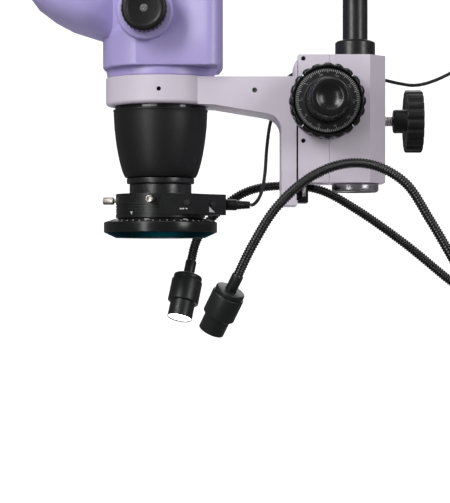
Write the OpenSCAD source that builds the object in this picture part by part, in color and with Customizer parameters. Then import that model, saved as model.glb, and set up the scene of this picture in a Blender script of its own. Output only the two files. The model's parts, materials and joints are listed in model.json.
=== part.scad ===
// Stereo microscope on a column stand: boom, coaxial focus mount, zoom head, ring light and two
// gooseneck lamps. The user sits at -X, so left is +Y. Pieces named front are on the -Y side. The origin
// is under the middle of the base plate, where the column stands, and +Z is up. The optical axis is at
// X = -reach.

/* [Stand] */
// Distance from the column's axis to the optical axis
reach = 380; // [370:1:400]
// Base plate width, left to right
base_w = 260; // [240:1:260]
// Base plate depth, front to back
base_d = 280; // [240:1:320]
// Base plate thickness
base_t = 22; // [18:1:30]
// Non-slip mat thickness
mat_t = 3; // [2:0.5:5]
// Column diameter
column_d = 32; // [30:0.5:34]
// Height of the column's top
column_top = 505; // [500:1:560]
// Height of the boom's axis
boom_z = 400; // [398:1:410]
// Boom bar diameter
boom_d = 30; // [26:1:34]

/* [Focus mount] */
// Distance from the optical axis to the post's axis
post_x = 155.7; // [155:0.1:157]
// Diameter of the post's shaft, which the block clamps
post_d = 32; // [31:0.1:32.2]
// Diameter of the post's neck
neck_d = 20; // [16:1:24]
// Bottom of the block and the focus housing
mount_z = 202; // [200:0.5:204]
// Height of the block and the focus housing
mount_h = 100.3; // [98:0.1:102]
// Half the front-to-back width of the arm, the housing and the block
half_w = 32; // [31:0.5:33]
// Height of the focus knobs' axis
focus_z = 264; // [262:0.5:266]
// Distance from the optical axis to the focus knobs' axis
focus_x = 131; // [130.5:0.1:131.2]
// Coarse knob diameter
coarse_d = 59.5; // [50:0.5:60]
// Clamp knob diameter
clamp_d = 50; // [40:1:54]
// Height of the clamp knob's axis
clamp_z = 251.8; // [245:0.1:252]

/* [Head] */
// Bore of the carriage ring
ring_bore_d = 76.2; // [76:0.1:76.4]
// Outer diameter of the carriage ring
ring_d = 87.2; // [85:0.2:88]
// Bottom of the carriage ring
ring_z = 263.5; // [262:0.5:265]
// Height of the carriage ring
ring_h = 22; // [20:0.5:24]
// Height of the zoom knobs' axis
zoom_z = 334; // [332:1:338]
// Angle of the eyepiece tubes above the horizontal
tube_tilt = 45; // [45:1:46]
// Spacing of the two prism housings' pivots
pivot_gap = 62; // [62:1:64]

/* [Ring light and lamps] */
// Radius of the ring light's housing
light_r = 35.7; // [35:0.1:36]
// Radius of the polariser ring
polar_r = 45.3; // [44:0.1:46]
// Diameter of a gooseneck
goose_d = 8; // [7:0.5:9]
// Diameter of the ring light's lead
lead_d = 2.8; // [2.6:0.1:3]

/* [Hidden] */

$fn = 64;
fit = 0.05;              // radial clearance of a running or sliding fit
base_top = mat_t + base_t;
post_r = post_d / 2;
mount_top = mount_z + mount_h;
module_m = 1;            // gear module of the focus pinion and the zoom pinion
focus_teeth = 14;
zoom_teeth = 10;
zoom_x = -10.5;          // zoom shaft, from the optical axis
tube_dir = [-cos(tube_tilt), 0, sin(tube_tilt)];
tube_up = [sin(tube_tilt), 0, cos(tube_tilt)];
prism_origin = [-77.5, 0, 367.5];    // middle of the binocular body's sloping face

// ---- shared shapes ----

module optic() translate([-reach, 0, 0]) children();

// A rod of radius r from y0 to y1, along Y, at (x, z)
module rod_y(x, z, r, y0, y1) translate([x, y1, z]) rotate([90, 0, 0]) cylinder(r = r, h = y1 - y0);

// A rod of radius r from x0 to x1, along X, at (y, z)
module rod_x(y, z, r, x0, x1) translate([x0, y, z]) rotate([0, 90, 0]) cylinder(r = r, h = x1 - x0);

module round_rect(w, d, r) {
    square([w - 2 * r, d], center = true);
    square([w, d - 2 * r], center = true);
    for (sx = [-1, 1], sy = [-1, 1]) translate([sx * (w / 2 - r), sy * (d / 2 - r)]) circle(r = r);
}

// A knob's outline with shallow flutes around its rim
module fluted_disc(r, count, flute_r, depth) difference() {
    circle(r = r);
    for (i = [0 : count - 1]) rotate(i * 360 / count) translate([r + flute_r - depth, 0]) circle(r = flute_r, $fn = 24);
}

// A turned hand knob on a stud: the stud starts at 0 and runs along +Z
module hand_knob(stud_r, stud_l, hub_l, knob_r, knob_t) {
    cylinder(r = stud_r, h = stud_l);
    translate([0, 0, stud_l]) cylinder(r = 9.5, h = hub_l);
    translate([0, 0, stud_l + hub_l]) linear_extrude(knob_t) fluted_disc(knob_r, 16, 4, 2.6);
}

// Straight-sided gear teeth around a root circle, one tooth pointing along -X
module pinion_outline(teeth, bore_r) difference() {
    union() {
        circle(r = teeth * module_m / 2 - 0.9);
        for (i = [0 : teeth - 1]) rotate(180 + i * 360 / teeth)
            polygon([
                [teeth * module_m / 2 - 1.4, -0.85], [teeth * module_m / 2 + 0.7, -0.25],
                [teeth * module_m / 2 + 0.7, 0.25], [teeth * module_m / 2 - 1.4, 0.85]
            ]);
    }
    circle(r = bore_r);
}

// A rack in the XZ plane: its back at x = 0, its teeth pointing along +X to the pitch line at
// pitch_x, from z0 to z1, with a gap centred on z_mesh
module rack_outline(pitch_x, z0, z1, z_mesh) {
    pitch = PI * module_m;
    translate([0, z0]) square([pitch_x - 0.9, z1 - z0]);
    first = ceil((z0 + 1 - z_mesh) / pitch - 0.5);
    last = floor((z1 - 1 - z_mesh) / pitch - 0.5);
    for (k = [first : last]) translate([pitch_x, z_mesh + (k + 0.5) * pitch])
        polygon([[-1, -0.85], [0.7, -0.25], [0.7, 0.25], [-1, 0.85]]);
}

module rack_solid(pitch_x, z0, z1, z_mesh, width)
    translate([0, width / 2, 0]) rotate([90, 0, 0]) linear_extrude(width) rack_outline(pitch_x, z0, z1, z_mesh);

function unit(v) = v / norm(v);

// Catmull-Rom points through a hand-chosen route, steps to each stretch
function smooth_point(p, i, t) =
    let (n = len(p) - 1, a = p[max(i - 1, 0)], b = p[i], c = p[i + 1], d = p[min(i + 2, n)])
    0.5 * ((2 * b) + (c - a) * t + (2 * a - 5 * b + 4 * c - d) * t * t
        + (3 * b - a - 3 * c + d) * t * t * t);
function smooth_route(p, steps) = concat(
    [for (i = [0 : len(p) - 2], s = [0 : steps - 1]) smooth_point(p, i, s / steps)], [p[len(p) - 1]]);

// A tube along points: rings of sides corners, each square to the route there
module tube(points, r, sides) {
    n = len(points);
    rings = [for (i = [0 : n - 1])
        let (
            t = unit(points[min(i + 1, n - 1)] - points[max(i - 1, 0)]),
            u = unit(cross(t, [0.12, 1, 0.05])),
            v = cross(t, u)
        )
        for (k = [0 : sides - 1]) points[i] + r * (cos(k * 360 / sides) * u + sin(k * 360 / sides) * v)];
    sides_faces = [for (i = [0 : n - 2], k = [0 : sides - 1]) let (a = i * sides, k2 = (k + 1) % sides)
        [a + k, a + sides + k, a + sides + k2, a + k2]];
    polyhedron(rings, concat([[for (k = [0 : sides - 1]) k]],
        [[for (k = [sides - 1 : -1 : 0]) (n - 1) * sides + k]], sides_faces), convexity = 8);
}

// ---- stand ----

module base_mat() color("dimgray")
    linear_extrude(mat_t) round_rect(base_w - 8, base_d - 8, 12);

module base_plate() color("thistle") difference() {
    translate([0, 0, mat_t]) linear_extrude(base_t) round_rect(base_w, base_d, 16);
    translate([0, 0, mat_t + 6]) cylinder(r = column_d / 2 + fit, h = base_t);
}

module column() color("gainsboro") {
    translate([0, 0, mat_t + 6]) cylinder(r = column_d / 2, h = column_top - mat_t - 8);
    translate([0, 0, column_top - 2]) cylinder(r1 = column_d / 2, r2 = column_d / 2 - 2, h = 2);
}

// Clamped on the column under the carrier, with its thumb screw as a second solid
module safety_collar() color("dimgray") {
    difference() {
        translate([0, 0, boom_z - 54]) cylinder(r = 28, h = 18.9);
        translate([0, 0, boom_z - 55]) cylinder(r = column_d / 2 + fit, h = 21);
        rod_y(0, boom_z - 44.5, 3 + fit, -30, -10);
    }
    rod_y(0, boom_z - 44.5, 3, -34, -column_d / 2 - fit);
    rod_y(0, boom_z - 44.5, 8, -44, -34);
}

case_x = [-126, -44];    // lamp unit, left and right faces
case_y = [-48, 48];
case_top = 70;
goose_exit_front = [-113, -30, case_top];
goose_exit_rear = [-97, 35, case_top];
dimmer_x = -62;

module lamp_unit_case() color("dimgray") difference() {
    union() {
        translate([(case_x[0] + case_x[1]) / 2, 0, base_top])
            linear_extrude(case_top - base_top) round_rect(case_x[1] - case_x[0], case_y[1] - case_y[0], 8);
        for (p = [goose_exit_front, goose_exit_rear]) translate(p) cylinder(r = 8, h = 6);
        rod_x(20, 48, 4, case_x[1] - 1, case_x[1] + 10);
    }
    translate([(case_x[0] + case_x[1]) / 2, 0, base_top + 3])
        linear_extrude(case_top - base_top - 6) round_rect(case_x[1] - case_x[0] - 6, case_y[1] - case_y[0] - 6, 6);
    for (p = [goose_exit_front, goose_exit_rear]) translate(p + [0, 0, -4]) cylinder(r = goose_d / 2 + fit, h = 12);
    rod_x(-20, 48, 5, case_x[1] - 10, case_x[1] + 1);
    rod_x(20, 48, lead_d / 2 + 0.1, case_x[1] - 10, case_x[1] + 11);
    rod_y(dimmer_x, 48, 3 + fit, case_y[0] - 1, case_y[0] + 5);
}

module dimmer_knob() color("black") {
    rod_y(dimmer_x, 48, 3, case_y[0] - 1, case_y[0] + 12);
    translate([dimmer_x, case_y[0] - 1, 48]) rotate([90, 0, 0]) linear_extrude(12) fluted_disc(10, 20, 1.5, 0.6);
}

// ---- gooseneck lamps ----

goose_front_route = [
    [-113, -30, 66], [-115, -31, 82], [-126, -38, 100], [-142, -52, 124], [-156, -62, 147], [-171, -64, 172],
    [-189, -66, 199], [-213, -68, 213], [-239, -70, 214], [-265.5, -72, 202.5], [-289.8, -74, 180],
    [-307.3, -70, 152], [-318, -64.6, 130], [-320.8, -62.3, 124]
];
goose_rear_route = [
    [-97, 35, 66], [-98, 36, 82], [-114, 48, 103], [-143, 62, 125.3], [-179, 65, 155], [-220, 68, 184],
    [-252, 72, 200.5], [-289, 76, 203], [-316, 80, 195.8], [-341, 77, 175], [-352, 70, 158], [-356.6, 64.5, 140.8],
    [-358, 62, 133.8]
];
head_front = [-323.7, -60, 118];      // middle of the cap's end
head_rear = [-359, 60, 128];
aim_front = [-0.411, 0.326, -0.851];
aim_rear = [-0.185, -0.326, -0.927];
lamp_l = 37.6;                        // cap, body and snout

module gooseneck_front() color("black") tube(smooth_route(goose_front_route, 3), goose_d / 2, 10);
module gooseneck_rear() color("black") tube(smooth_route(goose_rear_route, 3), goose_d / 2, 10);

// Stands the children's +Z along direction d, at point p
module aimed(p, d) translate(p) rotate([0, acos(d[2] / norm(d)), atan2(d[1], d[0])]) children();

module lamp_head() difference() {
    union() {
        cylinder(r = 11.8, h = 3.8);
        translate([0, 0, 3.8]) cylinder(r = 11.2, h = 0.6);
        translate([0, 0, 4.4]) cylinder(r = 12.75, h = 19.4);
        translate([0, 0, 23.8]) cylinder(r = 10.25, h = lamp_l - 23.8);
    }
    translate([0, 0, 18]) cylinder(r = 9.7, h = 22);
}

module lamp_head_front() color("black") aimed(head_front, aim_front) lamp_head();
module lamp_head_rear() color("black") aimed(head_rear, aim_rear) lamp_head();

module lamp_lenses() color("white") {
    aimed(head_front, aim_front) translate([0, 0, lamp_l - 4]) cylinder(r = 9.65, h = 3);
    aimed(head_rear, aim_rear) translate([0, 0, lamp_l - 4]) cylinder(r = 9.65, h = 3);
}

// ---- carrier, boom and post ----

module boom_carrier() color("thistle") difference() {
    translate([-14, 0, boom_z - 35]) linear_extrude(70) round_rect(96, 64, 9);
    translate([0, 0, boom_z - 36]) cylinder(r = column_d / 2 + fit, h = 72);
    rod_x(0, boom_z, boom_d / 2 + fit, -63, -22);
    rod_x(0, boom_z, 4 + fit, column_d / 2 - 1, 35);
}

module carrier_knob() color("black")
    translate([column_d / 2 + 0.4, 0, boom_z]) rotate([0, 90, 0]) hand_knob(4, 22, 8, 25, 13);

module boom_bar() color("silver") rod_x(0, boom_z, boom_d / 2, post_x + 16.3 - reach, -22.2);

boom_head_x = [128, 215];    // from the optical axis

module boom_head() color("thistle") optic() difference() {
    translate([(boom_head_x[0] + boom_head_x[1]) / 2, 0, boom_z - 36])
        linear_extrude(72) round_rect(boom_head_x[1] - boom_head_x[0], 64, 9);
    translate([post_x, 0, boom_z - 37]) cylinder(r = neck_d / 2 + fit, h = 74);
    rod_x(0, boom_z, boom_d / 2 + fit, post_x + 16.3, boom_head_x[1] + 1);
    rod_y(post_x, boom_z, 4 + fit, -33, -neck_d / 2 + 1);
}

module boom_head_knob() color("black")
    translate([post_x - reach, -neck_d / 2 - 0.4, boom_z]) rotate([90, 0, 0]) hand_knob(4, 26, 8, 20, 12);

shoulder_z = mount_top + 13.7;

module post() color("black") optic() translate([post_x, 0, 0]) {
    translate([0, 0, mount_z - 6.5]) cylinder(r = post_r, h = shoulder_z - mount_z + 5.5);
    translate([0, 0, shoulder_z - 1]) cylinder(r1 = post_r, r2 = post_r - 1, h = 1);
    translate([0, 0, shoulder_z]) cylinder(r = neck_d / 2, h = boom_z + 44 - shoulder_z);
}

module retaining_ring() color("silver") optic() translate([post_x, 0, mount_z - 7]) difference() {
    rotate_extrude() difference() {
        square([18.7, 6.9]);
        square([post_r + fit, 7]);
        translate([16.7, 0]) difference() {
            square(2);
            translate([0, 2]) circle(r = 2);
        }
    }
    translate([0, 0, 3.5]) rotate([90, 0, 0]) cylinder(r = 1.5, h = 30);
}

// ---- clamp block and focus housing ----

block_x = [133.6, 178.4];    // from the optical axis
housing_x = [109, 133.4];
corner = 13;                 // chamfer of the block's right corners
pinion_reach = focus_teeth * module_m / 2 + 1.2;

module clamp_block() color("thistle") optic() difference() {
    translate([0, 0, mount_z]) linear_extrude(mount_h) polygon([
        [block_x[0], -half_w], [block_x[1] - corner, -half_w], [block_x[1], -half_w + corner],
        [block_x[1], half_w - corner], [block_x[1] - corner, half_w], [block_x[0], half_w]
    ]);
    translate([post_x, 0, mount_z - 1]) cylinder(r = post_r + fit, h = mount_h + 2);
    rod_y(focus_x, focus_z, 5.3, -half_w - 1, half_w + 1);
    rod_y(focus_x, focus_z, pinion_reach, -7.5, 7.5);
    rod_x(0, clamp_z, 4 + fit, post_x, block_x[1] + 1);
}

module clamp_stud() color("silver") optic() rod_x(0, clamp_z, 4, post_x + post_r + 0.3, 200.6);

module clamp_knob() color("black") optic() difference() {
    union() {
        rod_x(0, clamp_z, 9.5, 186, 195);
        translate([195, 0, clamp_z]) rotate([0, 90, 0]) linear_extrude(15) fluted_disc(clamp_d / 2, 16, 4, 2.6);
    }
    rod_x(0, clamp_z, 4 + fit, 185, 200.7);
}

slot_gap = 0.2;              // clearance around the dovetail
rail_x = [108.6, 117.5];
rail_half = [14, 18];        // half width at the arm and at the rack

module dovetail(extra) polygon([
    [rail_x[0] - extra - 1, -rail_half[0] - extra], [rail_x[0] + 1.4, -rail_half[0] - extra],
    [rail_x[1] + extra, -rail_half[1] - extra], [rail_x[1] + extra, rail_half[1] + extra],
    [rail_x[0] + 1.4, rail_half[0] + extra], [rail_x[0] - extra - 1, rail_half[0] + extra]
]);

module focus_housing() color("thistle") optic() difference() {
    translate([housing_x[0], -half_w, mount_z]) cube([housing_x[1] - housing_x[0], 2 * half_w, mount_h]);
    translate([0, 0, mount_z - 1]) linear_extrude(mount_h + 2) dovetail(slot_gap);
    translate([rail_x[1], -7.5, mount_z - 1]) cube([20, 15, mount_h + 2]);
    rod_y(focus_x, focus_z, 5 + fit, -half_w - 1, half_w + 1);
    for (z = [mount_top - 3.3, mount_top - 67.8]) rod_y(113.1, z, 1.75, -half_w - 1, -24);
    translate([114, -23, mount_z - 1]) cylinder(r = 1.55, h = 12);
}

// Two gib screws in the near face and the pin under the housing
module housing_screws() color("black") optic() {
    for (z = [mount_top - 3.3, mount_top - 67.8]) difference() {
        rod_y(113.1, z, 1.7, -half_w + 0.3, -24.2);
        translate([113.1, -half_w + 1.6, z]) rotate([90, 0, 0]) cylinder(r = 1, h = 2, $fn = 6);
    }
    translate([114, -23, mount_z - 11]) cylinder(r = 1.5, h = 20);
}

module pinion_shaft() color("silver") optic() {
    difference() {
        rod_y(focus_x, focus_z, 5, -55.2, 55.2);
        rod_y(focus_x, focus_z, 3 + fit, -57, 57);
    }
    translate([focus_x, 6, focus_z]) rotate([90, 0, 0]) linear_extrude(12) pinion_outline(focus_teeth, 4.5);
}

coarse_y = [34, 58];         // back and front of a coarse knob
dial_y = [55.6, 57.6];
fine_y = [57.6, 92];

module coarse_knob() difference() {
    union() {
        cylinder(r = coarse_d / 2 - 2.5, h = coarse_y[1] - coarse_y[0]);
        translate([0, 0, 1.5]) cylinder(r = coarse_d / 2 - 0.6, h = 5);
        translate([0, 0, 8]) linear_extrude(coarse_y[1] - coarse_y[0] - 9) fluted_disc(coarse_d / 2, 20, 4.5, 1.2);
    }
    translate([0, 0, dial_y[0] - coarse_y[0] - 0.3]) cylinder(r = 25.8, h = 10);
    translate([0, 0, -1]) cylinder(r = 5 + fit, h = 30);
}

module coarse_knobs() color("black") optic() translate([focus_x, 0, focus_z]) for (s = [0, 180])
    rotate([90, 0, s]) translate([0, 0, coarse_y[0]]) coarse_knob();

module fine_shaft() color("silver") optic() rod_y(focus_x, focus_z, 3, -86, 86);

module fine_knob() difference() {
    union() {
        cylinder(r = 25.5, h = dial_y[1] - dial_y[0]);
        translate([0, 0, fine_y[0] - dial_y[0]]) cylinder(r1 = 17, r2 = 14.5, h = fine_y[1] - fine_y[0]);
    }
    translate([0, 0, fine_y[1] - dial_y[0] + 13.5]) sphere(r = 16.5);
    translate([0, 0, -1]) cylinder(r = 3 + fit, h = 86.2 - dial_y[0] + 1);
}

module fine_knobs() color("black") optic() translate([focus_x, 0, focus_z]) for (s = [0, 180])
    rotate([90, 0, s]) translate([0, 0, dial_y[0]]) fine_knob();

// ---- carriage ----

arm_top = ring_z + ring_h - 0.5;
leg_x = [96, 108.5];
leg_bottom = 184;

module ring_profile() difference() {
    union() {
        translate([0, 3]) square([ring_d / 2, ring_h - 3]);
        square([ring_d / 2 - 3, ring_h]);
        translate([ring_d / 2 - 3, 3]) circle(r = 3);
    }
    translate([-1, -1]) square([ring_bore_d / 2 + 1, ring_h + 2]);
}

module arm_profile() {
    polygon([
        [30, ring_z], [43, ring_z - 0.5], [85, 256], [leg_x[0], 253], [leg_x[0], leg_bottom],
        [leg_x[1], leg_bottom], [leg_x[1], 295.5], [leg_x[1] - 0.6, 296.5], [106.6, 296.5], [106.6, arm_top], [30, arm_top]
    ]);
    difference() {
        translate([83, 243]) square(13.1);
        translate([83, 243]) circle(r = 13);
    }
}

module carriage_arm() color("thistle") optic() difference() {
    union() {
        translate([0, 0, ring_z]) rotate_extrude() ring_profile();
        translate([0, half_w, 0]) rotate([90, 0, 0]) linear_extrude(2 * half_w) arm_profile();
    }
    translate([0, 0, ring_z - 10]) cylinder(r = ring_bore_d / 2, h = ring_h + 20);
    rod_y(0, 274.4, 1.75, -45, -30);
    rod_y(74.9, 274.2, 2, -half_w - 1, -half_w + 5);
}

module dovetail_rail() color("black") optic() translate([0, 0, 186.5])
    linear_extrude(107.5) intersection() {
        dovetail(0);
        translate([rail_x[0], -20]) square([20, 40]);
    }

module rack() color("silver") optic() translate([rail_x[1] + 0.02, 0, 0])
    rack_solid(focus_x - focus_teeth * module_m / 2 - rail_x[1] - 0.02, 208, 294, focus_z, 8);

// Ring lock screw, arm set screw and the rail's stop screw
module carriage_screws() color("black") optic() {
    rod_y(0, 274.4, 1.7, -41, -38.5);
    rod_y(74.9, 274.2, 1.9, -half_w + 0.4, -half_w + 4.9);
    rod_x(0, 199, 2, rail_x[1] + 0.02, 123);
}

// ---- head ----

head_x = [-46.6, 50];
head_y = 45;
head_z = [291.5, 388];
spigot_r = ring_bore_d / 2 - fit;
lens_x = 12;                 // zoom lens pairs, from the optical axis

module head_body() color("mediumpurple") optic() difference() {
    union() {
        translate([(head_x[0] + head_x[1]) / 2, 0, head_z[0]])
            linear_extrude(head_z[1] - head_z[0]) round_rect(head_x[1] - head_x[0], 2 * head_y, 16);
        translate([0, 0, ring_z + ring_h + 0.1]) cylinder(r = 42.5, h = head_z[0] - ring_z - ring_h + 1);
        translate([0, 0, ring_z]) cylinder(r = spigot_r, h = ring_h + 1);
        for (s = [-1, 1]) rod_y(zoom_x, zoom_z, 22, min(s * 40, s * 52), max(s * 40, s * 52));
    }
    difference() {
        translate([(head_x[0] + head_x[1]) / 2, 0, head_z[0] + 3.5])
            linear_extrude(head_z[1] - head_z[0] - 7) round_rect(head_x[1] - head_x[0] - 7, 2 * head_y - 7, 12.5);
        for (s = [-1, 1]) translate([lens_x, s * 32, head_z[0]]) cylinder(r = 2, h = 100);
    }
    translate([0, 0, ring_z - 1]) cylinder(r = 33, h = 40);
    rod_y(zoom_x, zoom_z, 3 + fit, -60, 60);
    translate([-60, -40, 340]) cube([30, 80, 36]);
}

skirt = [[37.7, 263.3], [37.6, 258], [36.8, 245], [35.1, 231], [32.9, 220], [30.6, 212], [28.2, 206.5]];
wall = 2.5;

module nose_skirt() color("black") optic() rotate_extrude() polygon(concat(
    skirt, [for (i = [len(skirt) - 1 : -1 : 0]) skirt[i] - [wall, 0]]));

// A lens with two equal domes, r in radius and t thick, around z = 0
module lens(r, t, dome_r) intersection() {
    cylinder(r = r, h = 2 * t, center = true, $fn = 200);
    translate([0, 0, dome_r - t / 2]) sphere(r = dome_r, $fn = 240);
    translate([0, 0, t / 2 - dome_r]) sphere(r = dome_r, $fn = 240);
}

module objective_lens() color("lightcyan") optic() translate([0, 0, 275]) lens(32.9, 12, 90);
module aux_lens() color("lightcyan") optic() translate([0, 0, 184]) lens(20.95, 9, 70);

module aux_lens_barrel() color("black") optic() difference() {
    union() {
        translate([0, 0, 176]) cylinder(r = 24.8, h = 26);
        translate([0, 0, 201.7]) cylinder(r = 27, h = 4.7);
        translate([0, 0, 206]) cylinder(r = 24.5, h = 14);
    }
    translate([0, 0, 170]) cylinder(r = 21, h = 60);
}

module binocular_body() color("mediumpurple") optic() difference() {
    translate([0, 50, 0]) rotate([90, 0, 0]) linear_extrude(100) polygon([
        [head_x[0] - 0.05, 317.8], [-71.6, 326.8], [-86, 334.5], [-100, 345], [-55, 390], [head_x[0] - 0.05, 388]
    ]);
    translate([0, 46, 0]) rotate([90, 0, 0]) linear_extrude(92) polygon([
        [head_x[0] + 1, 321.8], [-70, 331], [-83.5, 338.2], [-94, 345.5], [-55.5, 384], [head_x[0] + 1, 384]
    ]);
    for (s = [-1, 1]) along_tube(s, 0) translate([0, 0, -6]) cylinder(r = 16, h = 8);
}

// Children stand on a prism housing's pivot axis, side s, at distance d from the sloping face
module along_tube(s, d) translate(prism_origin + [0, s * pivot_gap / 2, 0] + d * tube_dir)
    rotate([0, tube_tilt - 90, 0]) children();

tube_offset = 12;            // from the pivot axis to the eyepiece axis
module eye_axis(s, d) translate(tube_offset * tube_up) along_tube(s, d) children();

module prism_housing(s) color("mediumpurple") optic() difference() {
    union() {
        along_tube(s, 0.4) cylinder(r = 30.5, h = 26);
        eye_axis(s, 26) cylinder(r = 16.5, h = 26);
    }
    along_tube(s, -1) cylinder(r = 15, h = 12);
    along_tube(s, 3.4) cylinder(r = 27, h = 20);
    eye_axis(s, 20) cylinder(r = 12, h = 40);
}

module eyepiece(s) color("black") optic() difference() {
    union() {
        eye_axis(s, 30) cylinder(r = 11.95, h = 24);
        eye_axis(s, 52.3) cylinder(r = 19, h = 10);
        eye_axis(s, 62.3) cylinder(r1 = 19, r2 = 17.5, h = 20);
    }
    eye_axis(s, 29) cylinder(r = 10, h = 60);
}

module eyecup(s) color("black") optic() difference() {
    eye_axis(s, 76) cylinder(r1 = 20.5, r2 = 21.5, h = 22);
    eye_axis(s, 70) cylinder(r1 = 18.42, r2 = 17.5, h = 12.3);
    eye_axis(s, 82.35) cylinder(r1 = 14, r2 = 17.5, h = 18);
    eye_axis(s, 70) cylinder(r = 14, h = 20);
}

module diopter_ring() color("black") optic() difference() {
    eye_axis(1, 40) linear_extrude(11.9) fluted_disc(19.8, 30, 1.5, 0.5);
    eye_axis(1, 39) cylinder(r = 16.5 + fit, h = 14);
}

zoom_knob_y = [53, 72];

module zoom_shaft() color("silver") optic() {
    rod_y(zoom_x, zoom_z, 3, -70, 70);
    translate([zoom_x, 4, zoom_z]) rotate([90, 0, 0]) linear_extrude(8) pinion_outline(zoom_teeth, 2.9);
}

module zoom_knobs() color("black") optic() translate([zoom_x, 0, zoom_z]) for (s = [0, 180])
    rotate([90, 0, s]) translate([0, 0, zoom_knob_y[0]]) difference() {
        union() {
            cylinder(r = 16.5, h = zoom_knob_y[1] - zoom_knob_y[0]);
            translate([0, 0, 3]) linear_extrude(13) fluted_disc(17.7, 24, 2, 0.7);
        }
        translate([0, 0, -1]) cylinder(r = 3 + fit, h = 18.1);
    }

// A lens plate with its pair of lenses and the rack that the zoom pinion drives, plate at height z
module zoom_lenses(z, side, z0, z1) {
    difference() {
        translate([lens_x - 12, -36, z]) cube([24, 72, 5]);
        for (s = [-1, 1]) {
            translate([lens_x, s * 32, z - 1]) cylinder(r = 2 + fit, h = 7);
            translate([lens_x, s * 14, z - 1]) cylinder(r = 9, h = 7);
        }
    }
    for (s = [-1, 1]) translate([lens_x, s * 14, z + 2.5]) lens(9.02, 4, 40);
    translate([zoom_x, 0, 0]) mirror([side > 0 ? 1 : 0, 0, 0]) {
        translate([-zoom_teeth * module_m / 2 - 4, 0, 0]) rack_solid(4, z0, z1, zoom_z, 6);
        if (side < 0) translate([-zoom_teeth * module_m / 2 - 4, -3, z]) cube([20, 6, 5]);
    }
    if (side > 0) translate([zoom_x + 5.9, -3, z]) cube([6, 6, 5]);
}

module zoom_lens_upper() color("dimgray") optic() zoom_lenses(358, -1, 314, 363);
module zoom_lens_lower() color("dimgray") optic() zoom_lenses(312, 1, 312, 350);

// ---- ring light and polariser ----

light_z = [174.5, 193.5];
polar_z = [158.5, 174.2];
box_edge = [52.4, 9];        // the plug's face: distance from the axis and half width
box_side = 26.6;             // where the straight side ends
lever = [box_edge[0] - box_side, light_r - box_edge[1]];
slant = atan2(lever[0], lever[1]);     // turn of the slanted face away from -Y

module light_outline() polygon([
    [0, -light_r], [box_side, -light_r], [box_edge[0], -box_edge[1]],
    [box_edge[0], box_edge[1]], [box_side, light_r], [0, light_r]
]);

button_a = [22, -light_r, 185.9];
button_b = [41.8, -light_r + (41.8 - box_side) * lever[1] / lever[0], 184.9];

// Children stand on a button's face with +Z out of the housing
module at_button(p, turn) translate(p) rotate([90, 0, turn]) children();

screw_angles = [168, 261, 75];
screw_z = 188.4;

module ring_light_housing() color("black") optic() difference() {
    union() {
        translate([0, 0, light_z[0]]) cylinder(r = light_r, h = light_z[1] - light_z[0]);
        translate([0, 0, 177]) linear_extrude(16) light_outline();
    }
    translate([0, 0, light_z[0] - 1]) cylinder(r = 25, h = 30);
    translate([0, 0, light_z[0] - 1]) difference() {
        cylinder(r = 33, h = 11);
        cylinder(r = 26.5, h = 12);
    }
    translate([0, 0, light_z[0] - 1]) difference() {
        cylinder(r = 34.2, h = 3.2);
        cylinder(r = 32.9, h = 4);
    }
    for (i = [0 : 3]) translate([0, 0, 177.6 + i * 2.1]) difference() {
        translate([-50, -50, 0]) cube([50, 100, 0.9]);
        cylinder(r = light_r - 0.6, h = 3, center = true);
    }
    at_button(button_a, 0) translate([0, 0, -4]) cylinder(r = 2.6, h = 8);
    at_button(button_b, slant) translate([0, 0, -4]) cylinder(r = 2.6, h = 8);
    for (a = screw_angles) rotate(a) rod_x(0, screw_z, 1.5 + fit, 20, 40);
    rod_x(0, 185, 3.6, 46, 53);
}

module led_board() color("white") optic() {
    translate([0, 0, 182.9]) difference() {
        cylinder(r = 32.9, h = 1.6);
        translate([0, 0, -1]) cylinder(r = 26.6, h = 4);
    }
    for (i = [0 : 23]) rotate(i * 15) translate([29.8, 0, 181.7]) cylinder(r = 1.6, h = 1.3, $fn = 24);
}

module light_button() {
    translate([0, 0, -2.6]) cylinder(r = 2.4, h = 3.8);
}
module light_button_level() color("dimgray") optic() at_button(button_a, 0) light_button();
module light_button_mode() color("dimgray") optic() at_button(button_b, slant) light_button();

module light_screws() color("silver") optic() for (a = screw_angles) rotate(a) {
    rod_x(0, screw_z, 1.5, 24.9, 38);
    translate([37.8, 0, screw_z]) rotate([0, 90, 0]) linear_extrude(9.6) fluted_disc(3, 18, 0.5, 0.2);
}

module light_plug() color("black") optic() {
    rod_x(0, 185, 3.5, 46.2, 53);
    rod_x(0, 185, 4.4, 52.5, 61);
    translate([61, 0, 185]) rotate([0, 90, 0]) cylinder(r1 = 3.9, r2 = 3.1, h = 10.6);
}

module polariser_ring() color("black") optic() rotate_extrude() polygon([
    [31, polar_z[0]], [36, polar_z[0]], [polar_r, 163], [polar_r, 171], [36.5, polar_z[1] - 0.4],
    [34.1, polar_z[1] - 0.4], [34.1, 176.4], [33.2, 176.4], [33.2, 163], [31, 163]
]);

module polariser_glass() color("darkslategray") optic() translate([0, 0, 163.05]) cylinder(r = 33.15, h = 2);

// ---- the ring light's lead, in four stretches, one to each moving part that holds it ----

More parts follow.
